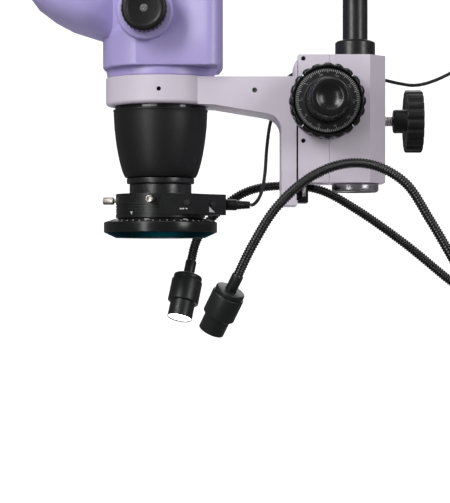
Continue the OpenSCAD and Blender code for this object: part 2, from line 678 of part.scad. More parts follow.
lead_head_route = [
    [-308.2, 0, 185], [-305.4, 0, 185.6], [-301.5, 2, 190], [-298.5, 7, 198], [-296.2, 14, 211], [-294.6, 23, 231],
    [-292.6, 30, 247], [-291, 33, 254.6], [-289.2, 35.4, 260.2]
];
lead_middle_route = [
    [-287.4, 38.6, 263.4], [-285.6, 39.9, 268.5], [-283.6, 39.4, 275.6], [-280.8, 38, 284.2], [-276.6, 36.6, 290.6],
    [-271, 36, 294], [-262, 36, 296.6], [-250, 36, 298.1], [-236, 36, 298], [-222, 36, 296], [-208, 36, 291.5]
];
lead_boom_route = [
    [-204.8, 36, 290], [-197, 36, 288], [-186, 36, 285.5], [-174, 36, 284], [-161, 36, 286.5], [-144, 36, 294],
    [-122, 36, 308], [-102, 36, 327], [-84, 36, 347], [-72, 36, 358], [-62.4, 36, 362.6]
];
lead_column_route = [
    [-59.6, 36, 362.8], [-52, 36, 361.6], [-45.5, 36, 354], [-43.5, 36, 336], [-43.5, 37, 300], [-42, 37.5, 255],
    [-39, 38, 208], [-36, 39, 160], [-33, 40, 110], [-30, 40, 70], [-26, 40, 40], [-18, 38, 29], [-8, 34, 26.6],
    [-2, 27, 27], [-6, 21, 32], [-16, 20, 42], [-24, 20, 47], [-33.6, 20, 48]
];

module lead_head() color("black") tube(smooth_route(lead_head_route, 2), lead_d / 2, 8);
module lead_middle() color("black") tube(smooth_route(lead_middle_route, 2), lead_d / 2, 8);
module lead_boom() color("black") tube(smooth_route(lead_boom_route, 2), lead_d / 2, 8);
module lead_column() color("black") tube(smooth_route(lead_column_route, 2), lead_d / 2, 8);

base_mat();
base_plate();
column();
safety_collar();
lamp_unit_case();
dimmer_knob();
gooseneck_front();
gooseneck_rear();
lamp_head_front();
lamp_head_rear();
lamp_lenses();
boom_carrier();
carrier_knob();
boom_bar();
boom_head();
boom_head_knob();
post();
retaining_ring();
clamp_block();
clamp_knob();
clamp_stud();
focus_housing();
housing_screws();
pinion_shaft();
coarse_knobs();
fine_shaft();
fine_knobs();
carriage_arm();
dovetail_rail();
rack();
carriage_screws();
head_body();
nose_skirt();
objective_lens();
aux_lens_barrel();
aux_lens();
binocular_body();
zoom_shaft();
zoom_knobs();
zoom_lens_upper();
zoom_lens_lower();
prism_housing(1);  // prism_housing_left
prism_housing(-1);  // prism_housing_right
eyepiece(1);  // eyepiece_left
eyepiece(-1);  // eyepiece_right
diopter_ring();
eyecup(1);  // eyecup_left
eyecup(-1);  // eyecup_right
ring_light_housing();
led_board();
light_button_level();
light_button_mode();
light_screws();
light_plug();
polariser_ring();
polariser_glass();
lead_head();
lead_middle();
lead_boom();
lead_column();
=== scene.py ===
import json
import math

import bmesh
import bpy
from mathutils import Matrix, Vector

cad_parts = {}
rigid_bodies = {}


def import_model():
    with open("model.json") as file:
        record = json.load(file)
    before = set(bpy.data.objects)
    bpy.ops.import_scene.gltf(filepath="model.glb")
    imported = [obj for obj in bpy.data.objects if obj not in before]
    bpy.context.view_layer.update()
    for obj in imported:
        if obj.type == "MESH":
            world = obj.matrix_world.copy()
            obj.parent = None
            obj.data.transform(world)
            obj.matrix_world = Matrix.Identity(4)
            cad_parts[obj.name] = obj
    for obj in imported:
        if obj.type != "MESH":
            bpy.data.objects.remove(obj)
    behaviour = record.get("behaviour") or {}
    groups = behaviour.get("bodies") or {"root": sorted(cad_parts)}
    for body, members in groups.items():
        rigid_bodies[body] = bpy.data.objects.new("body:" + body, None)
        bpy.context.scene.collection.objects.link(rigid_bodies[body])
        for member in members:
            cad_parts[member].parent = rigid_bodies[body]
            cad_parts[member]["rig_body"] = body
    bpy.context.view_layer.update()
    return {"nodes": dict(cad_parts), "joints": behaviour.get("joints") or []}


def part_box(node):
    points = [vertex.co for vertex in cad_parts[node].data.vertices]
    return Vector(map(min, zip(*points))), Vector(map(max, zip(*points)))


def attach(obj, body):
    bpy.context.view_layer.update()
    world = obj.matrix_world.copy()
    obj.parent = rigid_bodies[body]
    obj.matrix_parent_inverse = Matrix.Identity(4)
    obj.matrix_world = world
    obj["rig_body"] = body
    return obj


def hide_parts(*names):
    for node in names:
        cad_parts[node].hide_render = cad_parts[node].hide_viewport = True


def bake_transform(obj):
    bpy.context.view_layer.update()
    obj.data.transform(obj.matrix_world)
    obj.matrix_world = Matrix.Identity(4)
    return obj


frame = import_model()
joints = {joint["name"]: joint for joint in frame["joints"]}
collection = bpy.context.scene.collection

# ---- Studio ----
# A pale bench top that curves up into a white backdrop, with soft lamps on both sides, above, behind and
# below it. The sheet casts and reflects nothing, so the lamps below it light the object's undersides.
# The camera looks level along +Y at the focus mount, from a little over a metre and a half.

mm = 0.001
axis_x = joints["head_turn"]["pos_m"][0]


def at(x, y, z):
    """A point given in millimetres from the optical axis and the bench top."""
    return Vector((axis_x + x * mm, y * mm, z * mm))


def placed(name, data):
    """A new object at the origin, in the scene."""
    piece = bpy.data.objects.new(name, data)
    collection.objects.link(piece)
    return piece


camera_data = bpy.data.cameras.new("camera")
camera = placed("camera", camera_data)
camera.location = at(54, -1600, 137)
camera.rotation_euler = (math.radians(90), 0, 0)
camera_data.sensor_width = 36
camera_data.lens = 143.1
camera_data.shift_x = -0.006
camera_data.shift_y = 0.0268
camera_data.clip_end = 20
bpy.context.scene.camera = camera
bpy.context.scene.view_settings.view_transform = "Standard"


def bench_finish():
    """A glowing white, clear when seen from the back, so that the sheet hides nothing from behind."""
    finish = bpy.data.materials.new("bench_white")
    finish.use_nodes = True
    nodes, link = finish.node_tree.nodes, finish.node_tree.links.new
    shader = nodes["Principled BSDF"]
    shader.inputs["Base Color"].default_value = (0.9, 0.9, 0.9, 1)
    shader.inputs["Roughness"].default_value = 0.7
    shader.inputs["Emission Color"].default_value = (1, 1, 1, 1)
    shader.inputs["Emission Strength"].default_value = 0.8
    blend = nodes.new("ShaderNodeMixShader")
    link(nodes.new("ShaderNodeNewGeometry").outputs["Backfacing"], blend.inputs["Fac"])
    link(shader.outputs["BSDF"], blend.inputs[1])
    link(nodes.new("ShaderNodeBsdfTransparent").outputs["BSDF"], blend.inputs[2])
    link(blend.outputs["Shader"], nodes["Material Output"].inputs["Surface"])
    return finish


def sweep_floor():
    """The bench top and backdrop as one sheet: flat, a quarter round, then upright."""
    front, back, bend, high, side = -4.0, 1.6, 1.0, 5.0, 6.0
    line = [(front, 0.0), (back, 0.0)]
    bend_steps = 12
    for step in range(1, bend_steps + 1):
        turn = math.radians(90 * step / bend_steps)
        line.append((back + bend * math.sin(turn), bend * (1 - math.cos(turn))))
    line.append((back + bend, high))
    verts = [(x, y, z) for x in (-side, side) for y, z in line]
    count = len(line)
    faces = [(i, i + count, i + count + 1, i + 1) for i in range(count - 1)]
    mesh = bpy.data.meshes.new("studio_floor")
    mesh.from_pydata(verts, [], faces)
    mesh.polygons.foreach_set("use_smooth", [True] * len(mesh.polygons))
    floor = placed("studio_floor", mesh)
    floor.visible_glossy = False
    floor.visible_diffuse = False
    floor.visible_shadow = False
    mesh.materials.append(bench_finish())


def soft_lamp(name, where, aim, size, power):
    """A white soft box at where, turned to face aim."""
    data = bpy.data.lights.new(name, "AREA")
    data.shape = "RECTANGLE"
    data.size, data.size_y = size
    data.energy = power
    lamp = placed(name, data)
    lamp.location = where
    lamp.rotation_euler = (aim - where).to_track_quat("-Z", "Y").to_euler()
    return lamp


sweep_floor()
middle = at(80, 0, 230)
soft_lamp("key_left", at(-1000, -1300, 1200), middle, (0.7, 0.9), 23)
soft_lamp("strip_left", at(-900, -1500, 250), middle, (0.25, 1.2), 8)
soft_lamp("key_right", at(1300, -1100, 700), middle, (0.5, 0.9), 11)
soft_lamp("top", at(100, -200, 1700), middle, (1.2, 0.9), 10)
soft_lamp("rim_back", at(300, 1100, 1000), middle, (1.2, 0.8), 8)
soft_lamp("bench_bounce", at(20, 700, -700), middle, (1.6, 1.2), 11).visible_glossy = False
soft_lamp("bench_gleam", at(-10, 740, -720), at(0, 0, 170), (0.3, 0.4), 0.6)

world = bpy.data.worlds.new("studio_air")
world.use_nodes = True
nodes, link = world.node_tree.nodes, world.node_tree.links.new
nodes["Background"].inputs["Color"].default_value = (1, 1, 1, 1)
air_light = nodes.new("ShaderNodeMapRange")
air_light.inputs["To Min"].default_value = 0.16
air_light.inputs["To Max"].default_value = 1
link(nodes.new("ShaderNodeLightPath").outputs["Is Camera Ray"], air_light.inputs["Value"])
link(air_light.outputs["Result"], nodes["Background"].inputs["Strength"])
bpy.context.scene.world = world

# ---- The ring light's lead ----
# A thin round lead in black rubber. It leaves the plug at the ring light, climbs behind the arm and the
# focus mount, sags to the carrier on the column, and runs down to the lamp unit. It is drawn in four
# stretches, one in place of each CAD lead node, with rubber clips on the carriage, the focus mount and the
# boom.

lead_radius = 0.0014
lead_routes = {
    "lead_head": [
        (-308.2, 0, 185), (-305.4, 0, 185.6), (-301.5, 2, 190), (-298.5, 7, 198), (-296.2, 14, 211),
        (-294.6, 23, 231), (-292.6, 30, 247), (-291, 33, 254.6), (-289.2, 35.4, 260.2),
    ],
    "lead_middle": [
        (-287.4, 38.6, 263.4), (-285.6, 39.9, 268.5), (-283.6, 39.4, 275.6), (-280.8, 38, 284.2),
        (-276.6, 36.6, 290.6), (-271, 36, 294), (-262, 36, 296.6), (-250, 36, 298.1), (-236, 36, 298),
        (-222, 36, 296), (-208, 36, 291.5),
    ],
    "lead_boom": [
        (-204.8, 36, 290), (-197, 36, 288), (-186, 36, 285.5), (-174, 36, 284), (-161, 36, 286.5),
        (-144, 36, 294), (-122, 36, 308), (-102, 36, 327), (-84, 36, 347), (-72, 36, 358), (-62.4, 36, 362.6),
    ],
    "lead_column": [
        (-59.6, 36, 362.8), (-52, 36, 361.6), (-45.5, 36, 354), (-43.5, 36, 336), (-43.5, 37, 300),
        (-42, 37.5, 255), (-39, 38, 208), (-36, 39, 160), (-33, 40, 110), (-30, 40, 70), (-26, 40, 40),
        (-18, 38, 29), (-8, 34, 26.6), (-2, 27, 27), (-6, 21, 32), (-16, 20, 42), (-24, 20, 47),
        (-33.6, 20, 48),
    ],
}


def smooth_route(points, steps):
    """Catmull-Rom points through a given route."""
    route = []
    last = len(points) - 1
    for i in range(last):
        a, b = points[max(i - 1, 0)], points[i]
        c, d = points[i + 1], points[min(i + 2, last)]
        for s in range(steps):
            t = s / steps
            square, cube = 2 * a - 5 * b + 4 * c - d, 3 * b - a - 3 * c + d
            route.append(0.5 * (2 * b + (c - a) * t + square * t * t + cube * t**3))
    return route + [points[last]]


def ring_faces(rings, count):
    """The faces of a closed skin over rings of count points, with a cap at each end."""
    faces = []
    for i in range(rings - 1):
        for k in range(count):
            a, b = i * count + k, i * count + (k + 1) % count
            faces.append((a, b, b + count, a + count))
    faces.append(tuple(reversed(range(count))))
    faces.append(tuple(range((rings - 1) * count, rings * count)))
    return faces


def wrapped(name, route, radius_at, finish, sides=16):
    """A tube along route. radius_at takes the distance from the start; its ends are closed."""
    verts, gone, side = [], 0.0, None
    for i, point in enumerate(route):
        ahead = (route[min(i + 1, len(route) - 1)] - route[max(i - 1, 0)]).normalized()
        side = ahead.orthogonal() if side is None else side
        side = (side - ahead * side.dot(ahead)).normalized()
        other = ahead.cross(side)
        gone += (point - route[i - 1]).length if i else 0.0
        radius = radius_at(gone)
        for k in range(sides):
            turn = 2 * math.pi * k / sides
            verts.append(point + radius * (math.cos(turn) * side + math.sin(turn) * other))
    return made(name, verts, ring_faces(len(route), sides), finish)


def made(name, verts, faces, finish, sharp=35):
    """A smooth-shaded mesh object with edges kept sharp past an angle in degrees."""
    mesh = bpy.data.meshes.new(name)
    mesh.from_pydata([tuple(v) for v in verts], [], faces)
    mesh.materials.append(finish)
    mesh.polygons.foreach_set("use_smooth", [True] * len(mesh.polygons))
    mesh.set_sharp_from_angle(angle=math.radians(sharp))
    mesh.update()
    return placed(name, mesh)


def belongs(piece, body, node=None):
    """The piece rides on a body, in a CAD node's place where one is named."""
    if node:
        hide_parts(node)
    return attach(piece, body)


def surface(
    name, colour, rough, metal=0.0, grain=0.0, grain_size=0.4, mottle=0.05, scuff=0.06, coat=0.0,
    specular=0.5, brushed=False,
):
    """A coat with its own fine detail: grain is the bump's height in mm at grain_size mm, mottle the
    change of tone, and scuff the change of roughness. brushed draws the scuffs into upright lines."""
    finish = bpy.data.materials.new(name)
    finish.use_nodes = True
    tree = finish.node_tree
    shader = tree.nodes["Principled BSDF"]
    for label, value in (
        ("Metallic", metal), ("Specular IOR Level", specular),
        ("Coat Weight", coat), ("Coat Roughness", 0.08),
    ):
        shader.inputs[label].default_value = value
    place = tree.nodes.new("ShaderNodeTexCoord").outputs["Object"]

    def noise(scale_mm, detail, stretch=None):
        cloud = tree.nodes.new("ShaderNodeTexNoise")
        cloud.inputs["Scale"].default_value = 1000 / scale_mm
        cloud.inputs["Detail"].default_value = detail
        source = place
        if stretch:
            turn = tree.nodes.new("ShaderNodeMapping")
            turn.inputs["Scale"].default_value = stretch
            tree.links.new(source, turn.inputs["Vector"])
            source = turn.outputs["Vector"]
        tree.links.new(source, cloud.inputs["Vector"])
        return cloud.outputs["Fac"]

    def spread(fac, low, high):
        ramp = tree.nodes.new("ShaderNodeMapRange")
        for label, value in (("From Min", 0.3), ("From Max", 0.7), ("To Min", low), ("To Max", high)):
            ramp.inputs[label].default_value = value
        tree.links.new(fac, ramp.inputs["Value"])
        return ramp.outputs["Result"]

    tone = tree.nodes.new("ShaderNodeMix")
    tone.data_type = "RGBA"
    tone.inputs["A"].default_value = (*[c * (1 - mottle) for c in colour], 1)
    tone.inputs["B"].default_value = (*[min(c * (1 + mottle), 1) for c in colour], 1)
    tree.links.new(spread(noise(18, 3), 0, 1), tone.inputs["Factor"])
    tree.links.new(tone.outputs["Result"], shader.inputs["Base Color"])
    wear = noise(1.2, 3, stretch=(0.06, 0.06, 1)) if brushed else noise(2.5, 4)
    tree.links.new(spread(wear, max(rough - scuff, 0.02), rough + scuff), shader.inputs["Roughness"])
    if grain:
        bump = tree.nodes.new("ShaderNodeBump")
        bump.inputs["Strength"].default_value = 1.0
        bump.inputs["Distance"].default_value = grain * mm
        tree.links.new(noise(grain_size, 2), bump.inputs["Height"])
        tree.links.new(bump.outputs["Normal"], shader.inputs["Normal"])
    return finish


lead_rubber = surface("lead_rubber", (0.012, 0.012, 0.013), 0.42, grain=0.02, grain_size=0.5)
lead_spans = {
    "lead_head": ("head", "carriage", 0, 8),
    "lead_middle": ("carriage", "focus_mount", 0, 6),
    "lead_boom": ("focus_mount", "boom", 2, 8),
    "lead_column": ("boom", "stand", 1, 9),
}
for node, (first, second, begin, end) in lead_spans.items():
    corners = [Vector(p) * mm for p in lead_routes[node]]
    route = smooth_route(corners, 8)
    stretch = wrapped(f"{node}_cable", route, lambda gone: lead_radius, lead_rubber)
    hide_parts(node)
    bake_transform(stretch)

clip_half = 2.6 * mm
clip_lip = 0.3 * mm


def clip_radius(gone):
    """A clip is a short sleeve with a thinner lip at each end."""
    return (2.1 if clip_lip < gone < 2 * clip_half - clip_lip else 1.75) * mm


for node, holder in (("lead_middle", "carriage"), ("lead_boom", "focus_mount"), ("lead_column", "boom")):
    first, second = (Vector(corner) * mm for corner in lead_routes[node][:2])
    along = (second - first).normalized() * clip_half
    clip_line = [first - along + 2 * along * step / 6 for step in range(7)]
    belongs(wrapped(f"{node}_clip", clip_line, clip_radius, lead_rubber, 24), holder)

# ---- Base plate, mat and column ----
# The plate is cast iron in the stand's lilac enamel, on a thin rubber mat. The column is chromed steel,
# set upright in the plate, with a black safety collar clamped under the carrier.


eased_past = math.radians(42)
flat_within = math.radians(0.6)
same_point = 0.02 * mm


def eased(node, finish, width=0.8, segments=3, sharp=35):
    """The CAD piece with its edges eased, as a machined or cast piece has them, in its finish."""
    source = frame["nodes"][node]
    shape = bmesh.new()
    shape.from_mesh(source.data)
    bmesh.ops.remove_doubles(shape, verts=shape.verts, dist=same_point)
    bmesh.ops.dissolve_limit(
        shape, angle_limit=flat_within, verts=shape.verts, edges=shape.edges, use_dissolve_boundaries=False
    )
    mesh = bpy.data.meshes.new(f"{node}_body")
    shape.to_mesh(mesh)
    shape.free()
    mesh.materials.append(finish)
    piece = placed(f"{node}_body", mesh)
    if width:
        ease = piece.modifiers.new("ease", "BEVEL")
        ease.width = width * mm
        ease.segments = segments
        ease.limit_method = "ANGLE"
        ease.angle_limit = eased_past
        ease.miter_outer = "MITER_ARC"
        settle(piece)
    piece.data.polygons.foreach_set("use_smooth", [True] * len(piece.data.polygons))
    piece.data.set_sharp_from_angle(angle=math.radians(sharp))
    even = piece.modifiers.new("even", "WEIGHTED_NORMAL")
    even.keep_sharp = True
    settle(piece)
    return stands_for(piece, node)


def baked(piece):
    """The piece's mesh with its modifiers worked out."""
    bpy.context.view_layer.update()
    return bpy.data.meshes.new_from_object(piece.evaluated_get(bpy.context.evaluated_depsgraph_get()))


def settle(piece):
    """Bakes a piece's modifiers into its mesh."""
    mesh = baked(piece)
    piece.modifiers.clear()
    piece.data = mesh


def stands_for(piece, node):
    """The piece takes the CAD node's place and rides on the same body."""
    return belongs(piece, frame["nodes"][node]["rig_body"], node)


lilac = surface(
    "lilac_enamel", (0.585, 0.535, 0.615), 0.46, grain=0.012, grain_size=0.7, mottle=0.015, scuff=0.05,
    specular=0.4,
)
rubber = surface("mat_rubber", (0.03, 0.03, 0.03), 0.75, grain=0.06, grain_size=1.2)
chrome = surface("column_chrome", (0.72, 0.72, 0.73), 0.12, metal=1, scuff=0.05, brushed=True, mottle=0.02)
black_anodised = surface("black_anodised", (0.018, 0.018, 0.02), 0.34, metal=0.2, grain=0.008, grain_size=0.3)
eased("base_plate", lilac, width=2.5, segments=4)
eased("base_mat", rubber, width=0.8)
eased("column", chrome, width=0.5, sharp=30)
eased("safety_collar", black_anodised, width=1.0)

# ---- Lamp unit ----
# A moulded black case on the base plate that feeds both goosenecks, with a fluted dimmer knob.

case_black = surface("case_black", (0.03, 0.03, 0.033), 0.55, grain=0.05, grain_size=0.8)
knob_black = surface("knob_black", (0.006, 0.006, 0.0065), 0.4, grain=0.015, grain_size=0.6, specular=0.3)
eased("lamp_unit_case", case_black, width=1.5)
eased("dimmer_knob", knob_black, width=0.4)

# ---- Goosenecks ----
# Each neck is a tight coil of black-coated wire over a steel hose, so fine round ridges run all along it,
# and a smooth ferrule joins it to the lamp's head.

neck_radius = 3.0 * mm
ridge_height = 0.95 * mm
ridge_pitch = 2.2 * mm
neck_routes = {
    "gooseneck_front": [
        (-113, -30, 66), (-115, -31, 82), (-126, -38, 100), (-142, -52, 124), (-156, -62, 147),
        (-171, -64, 172), (-189, -66, 199), (-213, -68, 213), (-239, -70, 214), (-265.5, -72, 202.5),
        (-289.8, -74, 180), (-307.3, -70, 152), (-318, -64.6, 130), (-320.8, -62.3, 124),
    ],
    "gooseneck_rear": [
        (-97, 35, 66), (-98, 36, 82), (-114, 48, 103), (-143, 62, 125.3), (-179, 65, 155), (-220, 68, 184),
        (-252, 72, 200.5), (-289, 76, 203), (-316, 80, 195.8), (-341, 77, 175), (-352, 70, 158),
        (-356.6, 64.5, 140.8), (-358, 62, 133.8),
    ],
}
neck_black = surface("neck_black", (0.005, 0.005, 0.0055), 0.22, scuff=0.04, coat=0.1, mottle=0.1)


def tree_with(name, sizes, takes_shape=False):
    """An empty geometry node tree with one named input for each size."""
    tree = bpy.data.node_groups.new(name, "GeometryNodeTree")
    if takes_shape:
        tree.interface.new_socket("Geometry", in_out="INPUT", socket_type="NodeSocketGeometry")
    for label in sizes:
        tree.interface.new_socket(label, in_out="INPUT", socket_type="NodeSocketFloat")
    tree.interface.new_socket("Geometry", in_out="OUTPUT", socket_type="NodeSocketGeometry")
    return tree


def end_tree(tree, shape, finish):
    """Realizes what the shape socket holds, sets its material and hands it to the tree's output."""
    real = tree.nodes.new("GeometryNodeRealizeInstances")
    tree.links.new(shape, real.inputs["Geometry"])
    coated = tree.nodes.new("GeometryNodeSetMaterial")
    coated.inputs["Material"].default_value = finish
    tree.links.new(real.outputs["Geometry"], coated.inputs["Geometry"])
    result = tree.nodes.new("NodeGroupOutput")
    tree.links.new(coated.outputs["Geometry"], result.inputs["Geometry"])


def run_tree(piece, tree, sizes):
    """Puts the tree on the piece, with each size given by its socket's identifier."""
    modifier = piece.modifiers.new(tree.name, "NODES")
    modifier.node_group = tree
    for item in tree.interface.items_tree:
        if item.name in sizes:
            modifier[item.identifier] = sizes[item.name]


def ridged_neck(name, corners):
    """Geometry nodes: the route is resampled to a few rings a ridge, and the tube swells at each."""
    line = bpy.data.curves.new(name, "CURVE")
    line.dimensions = "3D"
    route = smooth_route([Vector(c) * mm for c in corners], 16)
    spline = line.splines.new("POLY")
    spline.points.add(len(route) - 1)
    for point, place in zip(spline.points, route):
        point.co = (*place, 1)
    piece = placed(name, line)
    sizes = {"Neck radius": neck_radius, "Ridge height": ridge_height, "Ridge pitch": ridge_pitch}
    tree = tree_with(f"{name}_ridges", sizes, takes_shape=True)
    add, link = tree.nodes.new, tree.links.new
    given = add("NodeGroupInput")

    def worked(operation, a, b=None):
        node = add("ShaderNodeMath")
        node.operation = operation
        for socket, value in zip(node.inputs, (a, b)):
            if isinstance(value, (int, float)):
                socket.default_value = value
            elif value is not None:
                link(value, socket)
        return node.outputs[0]

    spaced = add("GeometryNodeResampleCurve")
    spaced.mode = "LENGTH"
    link(given.outputs["Geometry"], spaced.inputs["Curve"])
    link(worked("DIVIDE", given.outputs["Ridge pitch"], 6), spaced.inputs["Length"])
    reach = add("GeometryNodeSplineParameter").outputs["Length"]
    wave = worked("SINE", worked("MULTIPLY", worked("DIVIDE", reach, given.outputs["Ridge pitch"]), math.pi))
    swell = worked("POWER", worked("ABSOLUTE", wave), 0.8)
    rise = worked("MULTIPLY", swell, given.outputs["Ridge height"])
    radius = worked("ADD", given.outputs["Neck radius"], rise)
    profile = add("GeometryNodeCurvePrimitiveCircle")
    profile.inputs["Resolution"].default_value = 20
    profile.inputs["Radius"].default_value = 1
    tube = add("GeometryNodeCurveToMesh")
    tube.inputs["Fill Caps"].default_value = True
    link(spaced.outputs["Curve"], tube.inputs["Curve"])
    link(profile.outputs["Curve"], tube.inputs["Profile Curve"])
    link(radius, tube.inputs["Scale"])
    round_off = add("GeometryNodeSetShadeSmooth")
    link(tube.outputs["Mesh"], round_off.inputs["Geometry"])
    end_tree(tree, round_off.outputs["Geometry"], neck_black)
    run_tree(piece, tree, sizes)
    mesh = baked(piece)
    bpy.data.objects.remove(piece)
    return placed(name, mesh)


for node, corners in neck_routes.items():
    stands_for(ridged_neck(f"{node}_ridged", corners), node)

# ---- Lamp heads ----
# Turned aluminium, black: a cap with a ferrule for the neck, a body, and a slimmer snout that holds the
# lens. The rear lamp is lit.


def softened(outline, ease, closed=True):
    """The outline with its corners rounded: three points in place of each."""
    points = [Vector(p) for p in outline]
    count = len(points)
    result = []
    for i, corner in enumerate(points):
        if not closed and i in (0, count - 1):
            result.append(corner)
            continue
        back, ahead = points[i - 1] - corner, points[(i + 1) % count] - corner
        if back.length < 1e-6 or ahead.length < 1e-6 or abs(back.angle(ahead) - math.pi) < 0.35:
            result.append(corner)
            continue
        reach = min(ease, back.length * 0.4, ahead.length * 0.4)
        start, end = corner + back.normalized() * reach, corner + ahead.normalized() * reach
        result += [start, (start + end + 2 * corner) / 4, end]
    return result


def axes(along):
    """Three directions at right angles: the first is as upright as can be, and the last runs along."""
    along = Vector(along).normalized()
    side = Vector((0, 0, 1)) if abs(along.z) < 0.9 else Vector((1, 0, 0))
    side = (side - along * side.dot(along)).normalized()
    return side, along.cross(side), along


def face_out(piece):
    """Turns a closed piece's faces outwards."""
    shape = bmesh.new()
    shape.from_mesh(piece.data)
    bmesh.ops.recalc_face_normals(shape, faces=shape.faces)
    shape.to_mesh(piece.data)
    shape.free()


def turned(name, outline, origin, along, finish, ease=0.4, sides=96, rim=None):
    """A piece turned on a lathe. outline holds (radius, height) pairs in mm round the section, heights
    along the axis from origin. A section that meets the axis starts and ends on it. rim changes the
    radius by angle and height, for flutes."""
    closed = outline[0][0] > 0 or outline[-1][0] > 0
    section = softened(outline, ease, closed)
    side, other, along = axes(along)
    verts, rings = [], []
    for radius, height in section:
        if radius < 1e-6:
            rings.append([len(verts)] * sides)
            verts.append(origin + along * height * mm)
            continue
        rings.append(list(range(len(verts), len(verts) + sides)))
        for k in range(sides):
            turn = 2 * math.pi * k / sides
            width = rim(turn, radius, height) if rim else radius
            across = math.cos(turn) * side + math.sin(turn) * other
            verts.append(origin + (across * width + along * height) * mm)
    faces = []
    pairs = list(zip(rings, rings[1:])) + ([(rings[-1], rings[0])] if closed else [])
    for low, high in pairs:
        for k in range(sides):
            n = (k + 1) % sides
            corners = [low[k], low[n], high[n], high[k]]
            corners = [c for i, c in enumerate(corners) if c not in corners[:i]]
            if len(corners) > 2:
                faces.append(corners)
    piece = made(name, verts, faces, finish)
    face_out(piece)
    piece.data.set_sharp_from_angle(angle=math.radians(35))
    return piece


lamp_black = surface("lamp_black", (0.012, 0.013, 0.0135), 0.4, metal=0.2, grain=0.008, grain_size=0.35)
lens_lit = surface("lens_lit", (1, 1, 1), 0.2)
lens_dark = surface("lens_dark", (0.5, 0.55, 0.6), 0.1)
lit_shader = lens_lit.node_tree.nodes["Principled BSDF"]
lit_shader.inputs["Emission Color"].default_value = (1, 0.99, 0.96, 1)
lit_shader.inputs["Emission Strength"].default_value = 9
for where, start, aim, lens_finish in (
    ("front", (-323.7, -60, 118), (-0.411, 0.326, -0.851), lens_dark),
    ("rear", (-359, 60, 128), (-0.185, -0.326, -0.927), lens_lit),
):
    start = Vector(start) * mm
    head = turned(
        f"lamp_head_{where}_turned",
        [(0, 0), (11.1, 0), (11.8, 0.7), (11.8, 3.7), (11.1, 3.9), (11.1, 4.4), (12.3, 4.4), (12.75, 4.9),
         (12.75, 23.2), (12.1, 23.8), (10.25, 23.9), (10.25, 37.5), (9.75, 37.6), (9.7, 34), (0, 34)],
        start, aim, lamp_black, ease=0.35,
    )
    stands_for(head, f"lamp_head_{where}")
    ferrule = turned(
        f"ferrule_{where}", [(0, 0.2), (4.55, 0.2), (4.55, -12.6), (4.1, -13.6), (0, -13.6)], start, aim,
        lamp_black,
    )
    belongs(ferrule, "stand")
    lens = turned(
        f"lamp_lens_{where}", [(0, 34.1), (9.65, 34.1), (9.65, 36.4), (7, 37), (3.5, 37.3), (0, 37.4)],
        start, aim, lens_finish,
    )
    belongs(lens, "stand", "lamp_lenses")

# ---- Carrier, boom and post ----
# The carrier and the boom's head are lilac castings on the chromed column and bar. The post is blacked
# steel with a satin retaining ring under the clamp block.

for node in ("boom_carrier", "boom_head"):
    eased(node, lilac, width=2.0)
eased("boom_bar", chrome, width=0.4)


def clamp_grip(name, node, origin, along, radius, thick, hub, stud):
    """A moulded hand knob: hub, dished web and a fluted rim, drawn from the stud's inner end."""
    base = stud + hub
    face = base + thick
    outline = [
        (0, stud - 0.2), (8.6, stud - 0.2), (9.5, stud + 0.8), (9.5, base + 1.5), (12, base + 2.6),
        (radius - 3, base + 0.6), (radius - 0.9, base), (radius, base + 0.9), (radius, face - 1.1),
        (radius - 1.1, face), (radius - 5, face), (radius - 7, face - 1.2), (8, face - 1.6), (0, face - 1.2),
    ]

    def rim(turn, r, height):
        if r < radius - 1.6:
            return r
        return r - 1.4 * (0.5 - 0.5 * math.cos(18 * turn)) ** 3

    grip = turned(name, outline, origin, along, knob_black, sides=288, rim=rim)
    return stands_for(grip, node)


def stud_rod(name, body, origin, along, length, pitch=1.25, node=None):
    """A threaded steel stud: its crests follow one another along the rod."""
    radius = 4
    core, root, crest_at = radius - 0.5, radius - 0.35, 0.62
    outline = [(0, 0), (core, 0)]
    for turn in range(int(length / pitch)):
        outline += [(root, turn * pitch + 0.1), (radius, turn * pitch + crest_at)]
    outline += [(core, length), (0, length)]
    rod = turned(name, outline, origin, along, bright_steel, ease=0.12, sides=48)
    return belongs(rod, body, node)


bright_steel = surface("bright_steel", (0.62, 0.61, 0.6), 0.24, metal=1, scuff=0.08, mottle=0.04)
upward, rightward, nearward = (0, 0, 1), (1, 0, 0), (0, -1, 0)
boom_height = 400 * mm
carrier_knob_at = Vector((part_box("carrier_knob")[0].x, 0, boom_height))
clamp_grip("carrier_knob_moulded", "carrier_knob", carrier_knob_at, rightward, 25, 13, 8, 22)
stud_rod("carrier_stud", "carrier_clamp", carrier_knob_at, rightward, 22.5)
knob_low, knob_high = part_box("boom_head_knob")
head_knob_at = Vector(((knob_low.x + knob_high.x) / 2, knob_high.y, boom_height))
clamp_grip("boom_head_knob_moulded", "boom_head_knob", head_knob_at, nearward, 20, 12, 8, 26)
stud_rod("boom_head_stud", "boom_head_clamp", head_knob_at, nearward, 26.5)

